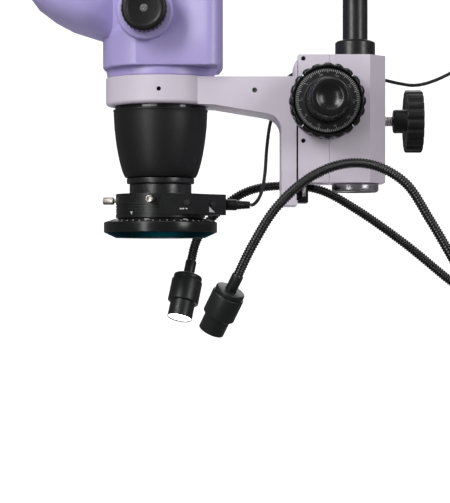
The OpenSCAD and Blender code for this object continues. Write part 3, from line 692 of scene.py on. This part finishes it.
post_low, post_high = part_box("post")
post_axis = Vector(((post_low.x + post_high.x) / 2, 0, 0))
shoulder_height = 316
shoulder = shoulder_height - post_low.z / mm
post_top = (post_high.z - post_low.z) / mm
post_black = surface("post_black", (0.008, 0.008, 0.009), 0.34, scuff=0.06, brushed=True, specular=0.45)
post = turned(
    "post_turned",
    [(0, 0), (15, 0), (16, 1), (16, shoulder - 1.4), (14.6, shoulder), (10.6, shoulder), (10, shoulder + 0.6),
     (10, post_top - 1), (9, post_top), (0, post_top)],
    post_axis + Vector((0, 0, post_low.z)), upward, post_black, ease=0.5,
)
stands_for(post, "post")
ring_alloy = surface("ring_alloy", (0.4, 0.39, 0.42), 0.3, metal=1, scuff=0.06, brushed=True, mottle=0.03)
ring_low, ring_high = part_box("retaining_ring")
ring_tall = (ring_high.z - ring_low.z) / mm
retaining = turned(
    "retaining_ring_turned",
    [(16.1, 0.5), (16.4, 0), (16.9, 0), (17.9, 0.5), (18.6, 1.7), (18.7, 3), (18.7, ring_tall - 0.5),
     (18.2, ring_tall), (16.1, ring_tall)],
    post_axis + Vector((0, 0, ring_low.z)), upward, ring_alloy, ease=0.2, sides=128,
)
stands_for(retaining, "retaining_ring")

# ---- Clamp block and focus housing ----
# Two lilac castings screwed together. The block clamps the post; the housing holds the dovetail way and
# the pinion. Black gib screws sit in the housing's near face.

screw_black = surface("screw_black", (0.01, 0.01, 0.01), 0.35, metal=0.6, scuff=0.08)
eased("clamp_block", lilac, width=1.2)
eased("focus_housing", lilac, width=0.7)
screws_low, screws_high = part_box("housing_screws")


def socket_screw(name, radius, at_face, finish, body, node):
    """A cap screw's head in the near side: a domed rim round a hexagon socket."""

    def six_sided(turn, r, height):
        if r > radius * 0.56:
            return r
        return r * 0.93 / math.cos((turn + math.pi / 6) % (math.pi / 3) - math.pi / 6)

    screw = turned(
        name,
        [(0, -2.6), (radius, -2.6), (radius, -0.25), (radius - 0.25, 0), (radius * 0.6, 0),
         (radius * 0.55, -0.15), (radius * 0.55, -1.5), (0, -1.5)],
        at_face, nearward, finish, ease=0.08, sides=48, rim=six_sided,
    )
    return belongs(screw, body, node)


gib_radius = 1.7
for number, drop in enumerate((gib_radius, 66.2)):
    socket_screw(
        f"gib_screw_{number + 1}", gib_radius,
        Vector((screws_low.x + gib_radius * mm, screws_low.y, screws_high.z - drop * mm)), screw_black,
        "focus_mount", "housing_screws",
    )
stop_pin = turned(
    "stop_pin", [(0, 0), (1.1, 0), (1.5, 0.4), (1.5, 20), (0, 20)],
    Vector((axis_x + 114 * mm, -23 * mm, screws_low.z)), upward, bright_steel, ease=0.15, sides=48,
)
belongs(stop_pin, "focus_mount", "housing_screws")

knob_low, knob_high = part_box("clamp_knob")
clamp_at = Vector((knob_low.x, 0, (knob_low.z + knob_high.z) / 2))
clamp_grip("clamp_knob_moulded", "clamp_knob", clamp_at, rightward, 25, 14, 9, 0.2)
stud_at = Vector((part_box("clamp_stud")[0].x, 0, clamp_at.z))
stud_rod("clamp_stud_threaded", "block_clamp", stud_at, rightward, 14.5, pitch=1.5, node="clamp_stud")

# ---- Focus knobs ----
# Coaxial, one pair on each side, moulded in glossy black: a fluted coarse knob, a dial with a fine scale
# sunk in its rim, and a tapered fine knob with a round hollow in its end.

knob_gloss = surface("knob_gloss", (0.005, 0.005, 0.0055), 0.26, scuff=0.02, specular=0.45)
dial_black = surface(
    "dial_black", (0.006, 0.006, 0.0065), 0.36, grain=0.006, grain_size=0.3, scuff=0.04, specular=0.4
)
scale_grey = surface("scale_grey", (0.2, 0.2, 0.21), 0.5)
tick_grey = surface("tick_grey", (0.42, 0.42, 0.43), 0.5)
index_white = surface("index_white", (0.7, 0.7, 0.7), 0.5)
focus_low, focus_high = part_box("coarse_knobs")
focus_axis = Vector(((focus_low.x + focus_high.x) / 2, 0, (focus_low.z + focus_high.z) / 2))


tick_thick = 0.12 * mm


def ticks(name, origin, along, rings, finish, body):
    """Geometry nodes: thin marks in circles on a face or a cone. Each ring has a count, a radius, a
    length, a width and a height in mm, a slope from the axis and a turn in degrees."""
    parts = []
    basis = Matrix(axes(along)).transposed().to_4x4()
    for number, (count, radius, length, width, height, slope, turn) in enumerate(rings):
        sizes = {"Radius": radius * mm, "Length": length * mm, "Width": width * mm}
        sizes["Slope"] = math.radians(slope)
        tree = tree_with(f"{name}_{number}", sizes)
        add, link = tree.nodes.new, tree.links.new
        given = add("NodeGroupInput")
        circle = add("GeometryNodeMeshCircle")
        circle.inputs["Vertices"].default_value = count
        link(given.outputs["Radius"], circle.inputs["Radius"])
        mark = add("GeometryNodeMeshCube")
        size = add("ShaderNodeCombineXYZ")
        link(given.outputs["Length"], size.inputs["X"])
        link(given.outputs["Width"], size.inputs["Y"])
        size.inputs["Z"].default_value = tick_thick
        link(size.outputs["Vector"], mark.inputs["Size"])
        lean = add("GeometryNodeTransform")
        leaning = add("ShaderNodeCombineXYZ")
        link(given.outputs["Slope"], leaning.inputs["Y"])
        link(mark.outputs["Mesh"], lean.inputs["Geometry"])
        link(leaning.outputs["Vector"], lean.inputs["Rotation"])
        place = add("GeometryNodeInputPosition")
        face = add("FunctionNodeAlignEulerToVector")
        face.axis = "X"
        face.pivot_axis = "Z"
        link(place.outputs["Position"], face.inputs["Vector"])
        spread = add("GeometryNodeInstanceOnPoints")
        link(circle.outputs["Mesh"], spread.inputs["Points"])
        link(lean.outputs["Geometry"], spread.inputs["Instance"])
        link(face.outputs["Rotation"], spread.inputs["Rotation"])
        end_tree(tree, spread.outputs["Instances"], finish)
        holder = placed(name, bpy.data.meshes.new(name))
        run_tree(holder, tree, sizes)
        settle(holder)
        lift = Matrix.Translation(Vector(along) * height * mm)
        holder.data.transform(
            Matrix.Translation(origin) @ lift @ basis @ Matrix.Rotation(math.radians(turn), 4, "Z")
        )
        parts.append(holder)
    return belongs(joined(name, parts), body)


def joined(name, parts):
    """Several mesh objects as one, in the order given."""
    shape = bmesh.new()
    for part in parts:
        shape.from_mesh(part.data)
    mesh = bpy.data.meshes.new(name)
    shape.to_mesh(mesh)
    shape.free()
    for finish in parts[0].data.materials:
        mesh.materials.append(finish)
    for part in parts:
        bpy.data.objects.remove(part)
    return placed(name, mesh)


def dial_numbers(name, origin, along, labels, radius, height, size, slope, turn, finish, body):
    """Thin raised numbers round a dial, each upright from the dial's middle."""
    basis = Matrix(axes(along)).transposed().to_4x4()
    parts = []
    for number, label in enumerate(labels):
        figure = bpy.data.curves.new(name, "FONT")
        figure.body = label
        figure.size = size * mm
        figure.align_x, figure.align_y = "CENTER", "CENTER"
        figure.extrude = 0.05 * mm
        figure.resolution_u = 2
        holder = placed(name, figure)
        mesh = baked(holder)
        bpy.data.objects.remove(holder)
        mesh.materials.clear()
        mesh.materials.append(finish)
        spot = (
            Matrix.Rotation(math.radians(turn + 360 * number / len(labels)), 4, "Z")
            @ Matrix.Translation((0, radius * mm, height * mm)) @ Matrix.Rotation(math.radians(slope), 4, "X")
        )
        mesh.transform(Matrix.Translation(origin) @ basis @ spot)
        parts.append(placed(name, mesh))
    return belongs(joined(name, parts), body)


coarse_outline = [
    (5.1, 0), (24.6, 0), (27.4, 0.4), (28.9, 1.6), (28.9, 6.2), (28.1, 7), (27.7, 8.2), (29.4, 9.2),
    (29.75, 10.6), (29.75, 21.2), (28.8, 23.2), (27.6, 24), (26.3, 24), (25.9, 23.4), (25.8, 21.3),
    (5.1, 21.3),
]
fine_outline = [
    (0, 0), (24.9, 0), (25.4, 0.4), (25.4, 1.2), (24.9, 1.7), (23.9, 1.9), (18.6, 2), (18.2, 2.4), (17.2, 3),
    (17, 4.2), (15.2, 30), (14.9, 34.6), (13.7, 36.4), (11.4, 36.4), (10.2, 36.2), (9.4, 35.8), (7.6, 34.6),
    (5.2, 33.6), (2.6, 33.1), (0, 33),
]
dial_inner = 17.5 * mm


def coarse_rim(turn, radius, height):
    """The flutes in the coarse knob's rim, which leave its inner collar round."""
    if height < 8.6 or radius < 27.5:
        return radius
    return radius - 1.3 * (0.5 - 0.5 * math.cos(20 * turn)) ** 2.2


for where, sign in (("front", -1), ("rear", 1)):
    out = Vector((0, sign, 0))
    coarse_at = focus_axis + out * 34 * mm
    fine_at = focus_axis + out * 55.6 * mm
    coarse = turned(
        f"coarse_knob_{where}", coarse_outline, coarse_at, out, knob_gloss, ease=0.3, sides=320,
        rim=coarse_rim,
    )
    belongs(coarse, "coarse_drive", "coarse_knobs")
    fine = turned(f"fine_knob_{where}", fine_outline, fine_at, out, knob_gloss, ease=0.3, sides=160)
    fine.data.materials.append(dial_black)
    for face in fine.data.polygons:
        reach = face.center - focus_axis
        if math.hypot(reach.x, reach.z) > dial_inner:
            face.material_index = 1
    belongs(fine, "fine_drive", "fine_knobs")
    ticks(
        f"fine_scale_{where}", fine_at, out,
        [(100, 23.4, 1.9, 0.32, 1.93, 0, 0), (20, 22.9, 2.9, 0.36, 1.94, 0, 0)],
        tick_grey, "fine_drive",
    )
    dial_numbers(
        f"fine_numbers_{where}", fine_at, out, [str(20 * n) for n in range(10)], 20.1, 1.95, 2.3, 0, -38,
        scale_grey, "fine_drive",
    )
    ticks(
        f"coarse_index_{where}", coarse_at, out, [(4, 27.5, 1.9, 0.7, 24.06, 12, 45)],
        index_white, "coarse_drive",
    )

# ---- Carriage ----
# The arm and ring are one lilac casting. The blacked dovetail rail and the rack are screwed to its leg, and
# a thin black strip on the leg's edge is painted shade, standing in for the shadow in the gap to the housing.

eased("carriage_arm", lilac, width=0.45)
rail_black = surface("rail_black", (0.008, 0.008, 0.009), 0.3, brushed=True, specular=0.4)
eased("dovetail_rail", rail_black, width=0.4)
arm_grey = surface("screw_grey", (0.09, 0.09, 0.095), 0.4, metal=0.6)
screws_low, screws_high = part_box("carriage_screws")
for name, radius, place, finish in (
    ("ring_screw", 1.7, Vector((axis_x, screws_low.y, 274.4 * mm)), screw_black),
    ("arm_screw", 1.9, at(74.9, -31.6, 274.2), arm_grey),
):
    socket_screw(name, radius, place, finish, "carriage", "carriage_screws")


def stop_rim(turn, radius, height):
    """Fine straight knurling on the stop screw's head."""
    if radius <= 2.3 or not 7.7 <= height <= 12:
        return radius
    return radius - 0.18 * (0.5 + 0.5 * math.cos(24 * turn))


stop_screw = turned(
    "stop_screw", [(0, 0), (2, 0), (2, 7.5), (2.1, 7.6), (2.4, 7.7), (2.4, 12), (2.1, 12.4), (0, 12.4)],
    Vector((screws_high.x - 12.4 * mm, 0, 199 * mm)), rightward, screw_black, ease=0.1, sides=120,
    rim=stop_rim,
)
belongs(stop_screw, "carriage", "carriage_screws")

# A thin black strip on the leg's front edge: painted shade, standing in for the shadow in the narrow gap to
# the housing.
gap_shade_outline = [(107.7, -32.1), (108.9, -32.1), (108.95, -31.9), (108.95, -29.2), (108.45, -29), (107.7, -31.6)]
gap_shade_heights = (187.6, 187.9, 261.7, 262)
gap_shade_verts = [
    at(x, y + (0.2 if end in (0, 3) else 0), z) for end, z in enumerate(gap_shade_heights) for x, y in gap_shade_outline
]
gap_shade_black = surface("gap_shade_black", (0.004, 0.004, 0.004), 0.9, grain=0.05, grain_size=0.3, specular=0.1)
gap_shade_faces = ring_faces(len(gap_shade_heights), len(gap_shade_outline))
belongs(made("gap_shade_strip", gap_shade_verts, gap_shade_faces, gap_shade_black), "carriage")

# ---- Head ----
# A purple enamelled casting. Its plan is a rounded square, with a soft upright ridge and a scooped
# hollow on each side, and a turned seat that stands in the carriage ring.

purple = surface(
    "purple_enamel", (0.365, 0.31, 0.59), 0.38, grain=0.01, grain_size=0.8, mottle=0.02, scuff=0.04,
    specular=0.6,
)


def eased_step(low, high, value):
    """From 0 at low to 1 at high, with no kink at either."""
    t = min(max((value - low) / (high - low), 0.0), 1.0)
    return t * t * (3 - 2 * t)


def head_hollow(across, height):
    """How far the casting is set back round its domed corner, and in the scoop beside it."""
    beside = eased_step(0, 5, -38.6 - across) * 0.8
    over = 0.0
    if height > 311 and across < -6:
        fade = 1 - eased_step(-20, -6, across)
        over = 2.2 * fade * eased_step(-0.6, 3.0, math.hypot(across + 27, height - 311) - 11.6)
    deep = eased_step(-13, 9, across) * (1 - eased_step(14, 44, across))
    upper = eased_step(294, 326, height) * (1 - eased_step(356, 378, height))
    return max(beside, over) + 5.6 * deep * upper


def head_plan():
    """The casting's outline from above: broad elliptical corners on the left and tight ones on the right."""
    points = []
    corners = (
        (36.9, 32, 13, 13, 0, 90), (-10, 7, 35.5, 39, 102.7, 180), (-10, -7, 35.5, 39, 180, 257.3),
        (36.9, -32, 13, 13, 270, 360),
    )
    corner_steps, side_steps, half_width = 36, 54, 45
    side_left, side_right = -17.8, 36.9
    for quarter, (cx, cy, wide, deep, first, last) in enumerate(corners):
        for step in range(corner_steps + 1):
            turn = math.radians(first + (last - first) * step / corner_steps)
            points.append((cx + wide * math.cos(turn), cy + deep * math.sin(turn)))
        if quarter in (0, 2):
            start, end = (side_right, side_left) if quarter == 0 else (side_left, side_right)
            for step in range(1, side_steps):
                points.append((start + (end - start) * step / side_steps, math.copysign(half_width, cy)))
    return points


def set_in(x, y, height):
    """A point of the outline at a height: set back by the hollow, and cut by the right bottom chamfer."""
    set_back = head_hollow(x, height) * eased_step(12, 30, abs(y))
    y -= math.copysign(min(set_back, abs(y)), y)
    if height < 296.5:
        x = min(x, 46.3 + (height - 292.8) * 0.95)
    return x, y


def wall_patch(name, radius, low, high, left, right, finish, thick=0.25):
    """A thin curved pad on a round wall, between two heights and two angles in degrees."""
    verts, steps = [], 12
    for i in range(steps + 1):
        turn = math.radians(left + (right - left) * i / steps)
        for r, z in ((radius + thick, low), (radius + thick, high), (radius, high), (radius, low)):
            verts.append(at(r * math.cos(turn), r * math.sin(turn), z))
    return made(name, verts, ring_faces(steps + 1, 4), finish)


def head_casting():
    """Rings of the plan from the bottom edge to the rounded top, closed at both ends."""
    levels = [(292.8, 0.98), (292.9, 0.99), (293.2, 0.996), (293.6, 1.0)]
    levels += [(294.2 + step * 1.5, 1.0) for step in range(53)]
    levels += [(375, 0.998), (379, 0.985), (382.5, 0.96), (385.2, 0.92), (387, 0.86), (387.9, 0.78)]
    levels.append((388, 0.6))
    plan, middle_x = head_plan(), 2.2
    verts = []
    for z, size in levels:
        for point in plan:
            x, y = set_in(*point, z)
            verts.append(at(middle_x + (x - middle_x) * size, y * size, z))
    return made("head_casting", verts, ring_faces(len(levels), len(plan)), purple, sharp=38)


belongs(head_casting(), "head", "head_body")


def seat_flare(turn, radius, height):
    """The seat spreads out to meet the casting's left and right bottom corners."""
    if height < 290 or radius < 40:
        return radius
    return radius + 3.9 * max(0.0, math.cos(turn)) ** 8 + 1.2 * max(0.0, -math.cos(turn)) ** 8


axis_foot = at(0, 0, 0)
seat = turned(
    "head_seat",
    [(33, 263.6), (38.1, 263.6), (38.1, 285.7), (42, 285.7), (42.5, 286.2), (42.5, 287.6), (42.5, 292.9),
     (33, 292.9)],
    axis_foot, upward, purple, ease=0.3, sides=240, rim=seat_flare,
)
belongs(seat, "head")
seam = wall_patch("seat_seam", 42.4, 286.2, 292.8, 239.4, 240.5, purple, thick=0.6)
belongs(seam, "head")
zoom_x, zoom_z = -10.5, 334
for where, sign in (("front", -1), ("rear", 1)):
    boss = turned(
        f"zoom_boss_{where}", [(0, 30), (22.2, 30), (22.1, 49.6), (21.6, 51.4), (20.2, 52), (0, 52)],
        at(zoom_x, 0, zoom_z), (0, sign, 0), purple, ease=0.6, sides=128,
    )
    belongs(boss, "head")


def binocular_cast():
    """The binocular's base: sections along Y of one outline, whose lower side curves up at both ends."""
    outline = [
        (-38, 314.5), (-46.6, 317.8), (-71.6, 326.8), (-86, 334.5), (-100, 345), (-55, 390), (-38, 387),
    ]
    lift = {0: (0.3, 0.95), 1: (0.3, 0.95), 2: (0.38, 0.92), 3: (0.5, 0.86), 4: (0.71, 0.71)}
    verts = []
    flat_to, corner = 37, 13
    stations = [-50, -49.8, -49, -47.5, -45, -41.5, -37, 37, 41.5, 45, 47.5, 49, 49.8, 50]
    for y in stations:
        part = max(0.0, (abs(y) - flat_to) / corner)
        rise = corner * (1 - math.sqrt(max(0.0, 1 - part * part)))
        for i, (x, z) in enumerate(outline):
            dx, dz = lift.get(i, (0, 0))
            verts.append(at(x + dx * rise, y * (1 - 0.4 * eased_step(-78, -36, x)), z + dz * rise))
    cast = made("binocular_cast", verts, ring_faces(len(stations), len(outline)), purple, sharp=30)
    face_out(cast)
    ease = cast.modifiers.new("ease", "BEVEL")
    ease.width = 1.5 * mm
    ease.segments = 4
    ease.limit_method = "ANGLE"
    ease.angle_limit = math.radians(32)
    settle(cast)
    cast.data.polygons.foreach_set("use_smooth", [True] * len(cast.data.polygons))
    cast.data.set_sharp_from_angle(angle=math.radians(35))
    return cast


stands_for(binocular_cast(), "binocular_body")

# ---- Zoom knobs ----
# A pair of fluted black knobs on one shaft across the head, driven together.

zoom_outline = [
    (0, 0), (15.8, 0), (16.5, 0.8), (16.5, 2.8), (17.6, 3.4), (17.7, 4.2), (17.7, 15), (17, 16.2),
    (15.6, 17.2), (13.6, 17.5), (12.6, 16.9), (11.5, 16.6), (0, 16.9),
]


def zoom_rim(turn, radius, height):
    """The shallow flutes round the zoom knob."""
    if radius < 17.2:
        return radius
    return radius - 0.8 * (0.5 - 0.5 * math.cos(30 * turn)) ** 1.4


for where, sign in (("front", -1), ("rear", 1)):
    zoom_knob = turned(
        f"zoom_knob_{where}", zoom_outline, at(zoom_x, sign * 53, zoom_z), (0, sign, 0), knob_black, ease=0.3,
        sides=300, rim=zoom_rim,
    )
    belongs(zoom_knob, "zoom_drive", "zoom_knobs")

# ---- Nose and auxiliary lens ----
# A tapering black skirt with a fine matte texture, and below it the turned barrel of the screw-in lens.

nose_black = surface(
    "nose_black", (0.007, 0.007, 0.0075), 0.44, grain=0.02, grain_size=0.55, scuff=0.04, specular=0.35
)
barrel_black = surface("barrel_black", (0.007, 0.007, 0.008), 0.32, grain=0.0025, grain_size=0.3)
skirt_outer = [
    (36.3, 263.3), (36.3, 260.9), (37.6, 260.8), (37.9, 260.4), (37.9, 259.4), (37.5, 259.1), (37.4, 255.5),
    (37.2, 251), (36.9, 246.5), (36.4, 241.5), (35.8, 236.5), (35.1, 231.5), (34.2, 226.5), (33.2, 221.5),
    (32.0, 216.5), (30.7, 212), (29.3, 208.6), (28.2, 206.8),
]
skirt_inner = [(24.8, 206.6), (25.5, 210), (33, 236), (33.6, 263.3)]
skirt = turned(
    "nose_skirt_turned", skirt_outer + skirt_inner, axis_foot, upward, nose_black, ease=0.3, sides=160
)
stands_for(skirt, "nose_skirt")

# Grey pads round the glossy black collar under the head: painted reflections of the soft lamps on the collar.
reflection_grey = surface("reflection_grey", (0.22, 0.22, 0.225), 0.4, metal=0.5)
for number, (left, right) in enumerate(((248.6, 267.7), (296.9, 304.5), (68, 87))):
    reflection_patch = wall_patch(f"nose_reflection_patch_{number + 1}", 36.2, 261.3, 263.2, left, right, reflection_grey)
    belongs(reflection_patch, "head")
barrel = turned(
    "aux_lens_barrel_turned",
    [(21.1, 176), (24.4, 176), (24.8, 176.4), (24.8, 201), (24.4, 201.4), (24.4, 201.8), (26.7, 201.8),
     (27, 202.2), (27, 206), (26.7, 206.3), (24.4, 206.3), (24.4, 219.8), (21.1, 219.8)],
    axis_foot, upward, barrel_black, ease=0.3, sides=160,
)
stands_for(barrel, "aux_lens_barrel")

lens_glass = surface("lens_glass", (0.75, 0.9, 0.88), 0.03, scuff=0.01, mottle=0.02)
glass_shader = lens_glass.node_tree.nodes["Principled BSDF"]
glass_shader.inputs["Transmission Weight"].default_value = 0.85
glass_shader.inputs["IOR"].default_value = 1.5
eased("aux_lens", lens_glass, width=0)
eased("objective_lens", lens_glass, width=0)

# ---- Ring light and polariser ----
# A black machined ring with grooves in its round side, with thin lighter ribs along them as painted
# highlights for the glint on the groove edges, and a straight-sided box for the buttons and the plug, clamped
# to the barrel by three knurled nickel screws. The polariser turns below it.

light_black = surface(
    "light_black", (0.006, 0.0062, 0.0065), 0.34, grain=0.008, grain_size=0.4, scuff=0.04, specular=0.4
)
eased("ring_light_housing", light_black, width=0.14, segments=2)
# Thin pads a shade lighter than the ring, along its grooves: painted highlights that stand in for the glint
# on the groove edges.
rib_painted_glint = surface("rib_painted_glint", (0.03, 0.036, 0.036), 0.4, metal=0.3)
for number, height in enumerate((179.1, 181.2, 183.3, 185.4)):
    rib = wall_patch(f"light_glint_rib_{number + 1}", 35.6, height, height + 0.4, 226, 285 - 4 * number, rib_painted_glint)
    belongs(rib, "head")
led_white = surface("led_white", (0.8, 0.8, 0.78), 0.5)
eased("led_board", led_white, width=0)
nickel = surface("nickel", (0.4, 0.38, 0.35), 0.34, metal=1, scuff=0.08, mottle=0.05)
button_grey = surface("button_grey", (0.012, 0.012, 0.013), 0.4, grain=0.01, grain_size=0.5)


def knurled(turn, radius, height):
    """Fine straight knurling on a thumb screw's head."""
    if radius < 2.9 or not 39.2 < height < 46.8:
        return radius
    return radius - 0.16 * (0.5 + 0.5 * math.cos(26 * turn))


for number, turn in enumerate((168, 261, 75)):
    aim = Vector((math.cos(math.radians(turn)), math.sin(math.radians(turn)), 0))
    screw = turned(
        f"light_screw_{number + 1}",
        [(0, 25), (1.5, 25), (1.5, 38.4), (2.2, 38.5), (2.9, 38.9), (3, 39.2), (3, 46.9), (2.7, 47.3),
         (2.2, 47.4), (1.9, 46.9), (0, 46.7)],
        at(0, 0, 188.4), aim, nickel, ease=0.12, sides=156, rim=knurled,
    )
    belongs(screw, "head", "light_screws")
for node in ("light_button_level", "light_button_mode"):
    eased(node, button_grey, width=0.3)

mark_white = surface("mark_white", (0.62, 0.62, 0.62), 0.6)


def printed_mark(name, outline, origin, across):
    """A thin printed patch on an upright face: outline holds (across, up) pairs in mm from origin."""
    across, up = Vector(across).normalized(), Vector(upward)
    out = across.cross(up)
    verts = [origin + (across * x + up * z + out * y) * mm for y in (-0.1, 0.05) for x, z in outline]
    mark = made(name, verts, ring_faces(2, len(outline)), mark_white)
    face_out(mark)
    return belongs(mark, "head")


pointer_turn = math.radians(232.2)
light_radius = 35.7
printed_mark(
    "angle_pointer", [(-1.1, 1.3), (0, -1.3), (1.1, 1.3)],
    at(light_radius * math.cos(pointer_turn), light_radius * math.sin(pointer_turn), 178),
    (-math.sin(pointer_turn), math.cos(pointer_turn), 0),
)
for number, left in enumerate((16.2, 18.2, 20.8)):
    printed_mark(
        f"level_dash_{number + 1}", [(left, -0.5), (left + 1.5, -0.5), (left + 1.5, 0.4), (left, 0.4)],
        at(0, -light_radius, 181.2), rightward,
    )
slanted_face = (25.8, 26.7, 0)
printed_mark("level_wedge", [(-3.2, -2.2), (3.3, -2.2), (-3.2, 2.1)], at(41.4, -20.36, 180.9), slanted_face)
plug_outline = [(0, 46.3), (3.4, 46.3), (3.4, 52.4), (4.1, 52.5), (4.4, 52.9), (4.4, 60.5), (4, 61)]
for rib in range(8):
    crest, start = 3.85 - 0.09 * rib, 61.1 + 1.25 * rib
    plug_outline += [(crest, start + 0.1), (crest - 0.5, start + 0.8)]
plug_outline += [(3.1, 71.1), (2.8, 71.6), (0, 71.6)]
plug = turned(
    "light_plug_moulded", plug_outline, at(0, 0, 185), rightward, knob_black, ease=0.12, sides=40
)
stands_for(plug, "light_plug")

polar_black = surface(
    "polar_black", (0.006, 0.0062, 0.0065), 0.24, grain=0.0015, grain_size=0.3, scuff=0.03, specular=0.4
)
polar = turned(
    "polariser_ring_turned",
    [(31, 158.5), (35.6, 158.5), (45, 162.9), (45.3, 163.3), (45.3, 170.7), (44.8, 171.2), (36.6, 173.8),
     (34.1, 173.8), (34.1, 176.4), (33.2, 176.4), (33.2, 163), (31, 163)],
    axis_foot, upward, polar_black, ease=0.35, sides=192,
)
bevel_sheen = surface("bevel_sheen", (0.009, 0.027, 0.031), 0.32, metal=1, mottle=0.1, scuff=0.03)
bevel_sheen.node_tree.nodes["Principled BSDF"].inputs["Specular Tint"].default_value = (0.3, 0.5, 0.55, 1)
polar.data.materials.append(bevel_sheen)
bevel_inner, bevel_outer = 36 * mm, 44.9 * mm
for face in polar.data.polygons:
    reach = math.hypot(face.center.x - axis_x, face.center.y)
    if face.normal.z < -0.6 and bevel_inner < reach < bevel_outer:
        face.material_index = 1
stands_for(polar, "polariser_ring")
scale_white = surface("scale_white", (0.75, 0.75, 0.74), 0.6)
scale_slope = 17.6
ticks(
    "polariser_scale", axis_foot, upward, [(48, 42.6, 2.0, 0.34, 171.98, scale_slope, 1.5)],
    scale_white, "polariser",
)
dial_numbers(
    "polariser_numbers", axis_foot, upward, [str(45 * n) for n in range(8)], 39.6, 172.95, 3.2, -scale_slope,
    31.5, scale_white, "polariser",
)
film = surface("polariser_film", (0.03, 0.09, 0.1), 0.06, metal=0.3, scuff=0.02, coat=1.0)
eased("polariser_glass", film, width=0)

# ---- Eyepieces ----
# Purple prism housings that turn with their tubes, black eyepieces with a diopter ring on the left one,
# and rolled rubber cups.

for side in ("left", "right"):
    eased(f"prism_housing_{side}", purple, width=2.0)
    eased(f"eyepiece_{side}", barrel_black, width=0.6)
    cup_rubber = surface(f"cup_rubber_{side}", (0.02, 0.02, 0.02), 0.6, grain=0.03, grain_size=0.6)
    eased(f"eyecup_{side}", cup_rubber, width=0.8)
eased("diopter_ring", knob_black, width=0.2, segments=1)

# ---- Inner pieces ----
# Shafts, rack and zoom lens carriers, in bright steel, brass and matt black.

brass = surface("rack_brass", (0.72, 0.5, 0.2), 0.3, metal=1)
cell_black = surface("cell_black", (0.02, 0.02, 0.02), 0.6)
eased("rack", brass, width=0)
for node in ("pinion_shaft", "fine_shaft", "zoom_shaft"):
    eased(node, bright_steel, width=0)
for node in ("zoom_lens_upper", "zoom_lens_lower"):
    eased(node, cell_black, width=0)
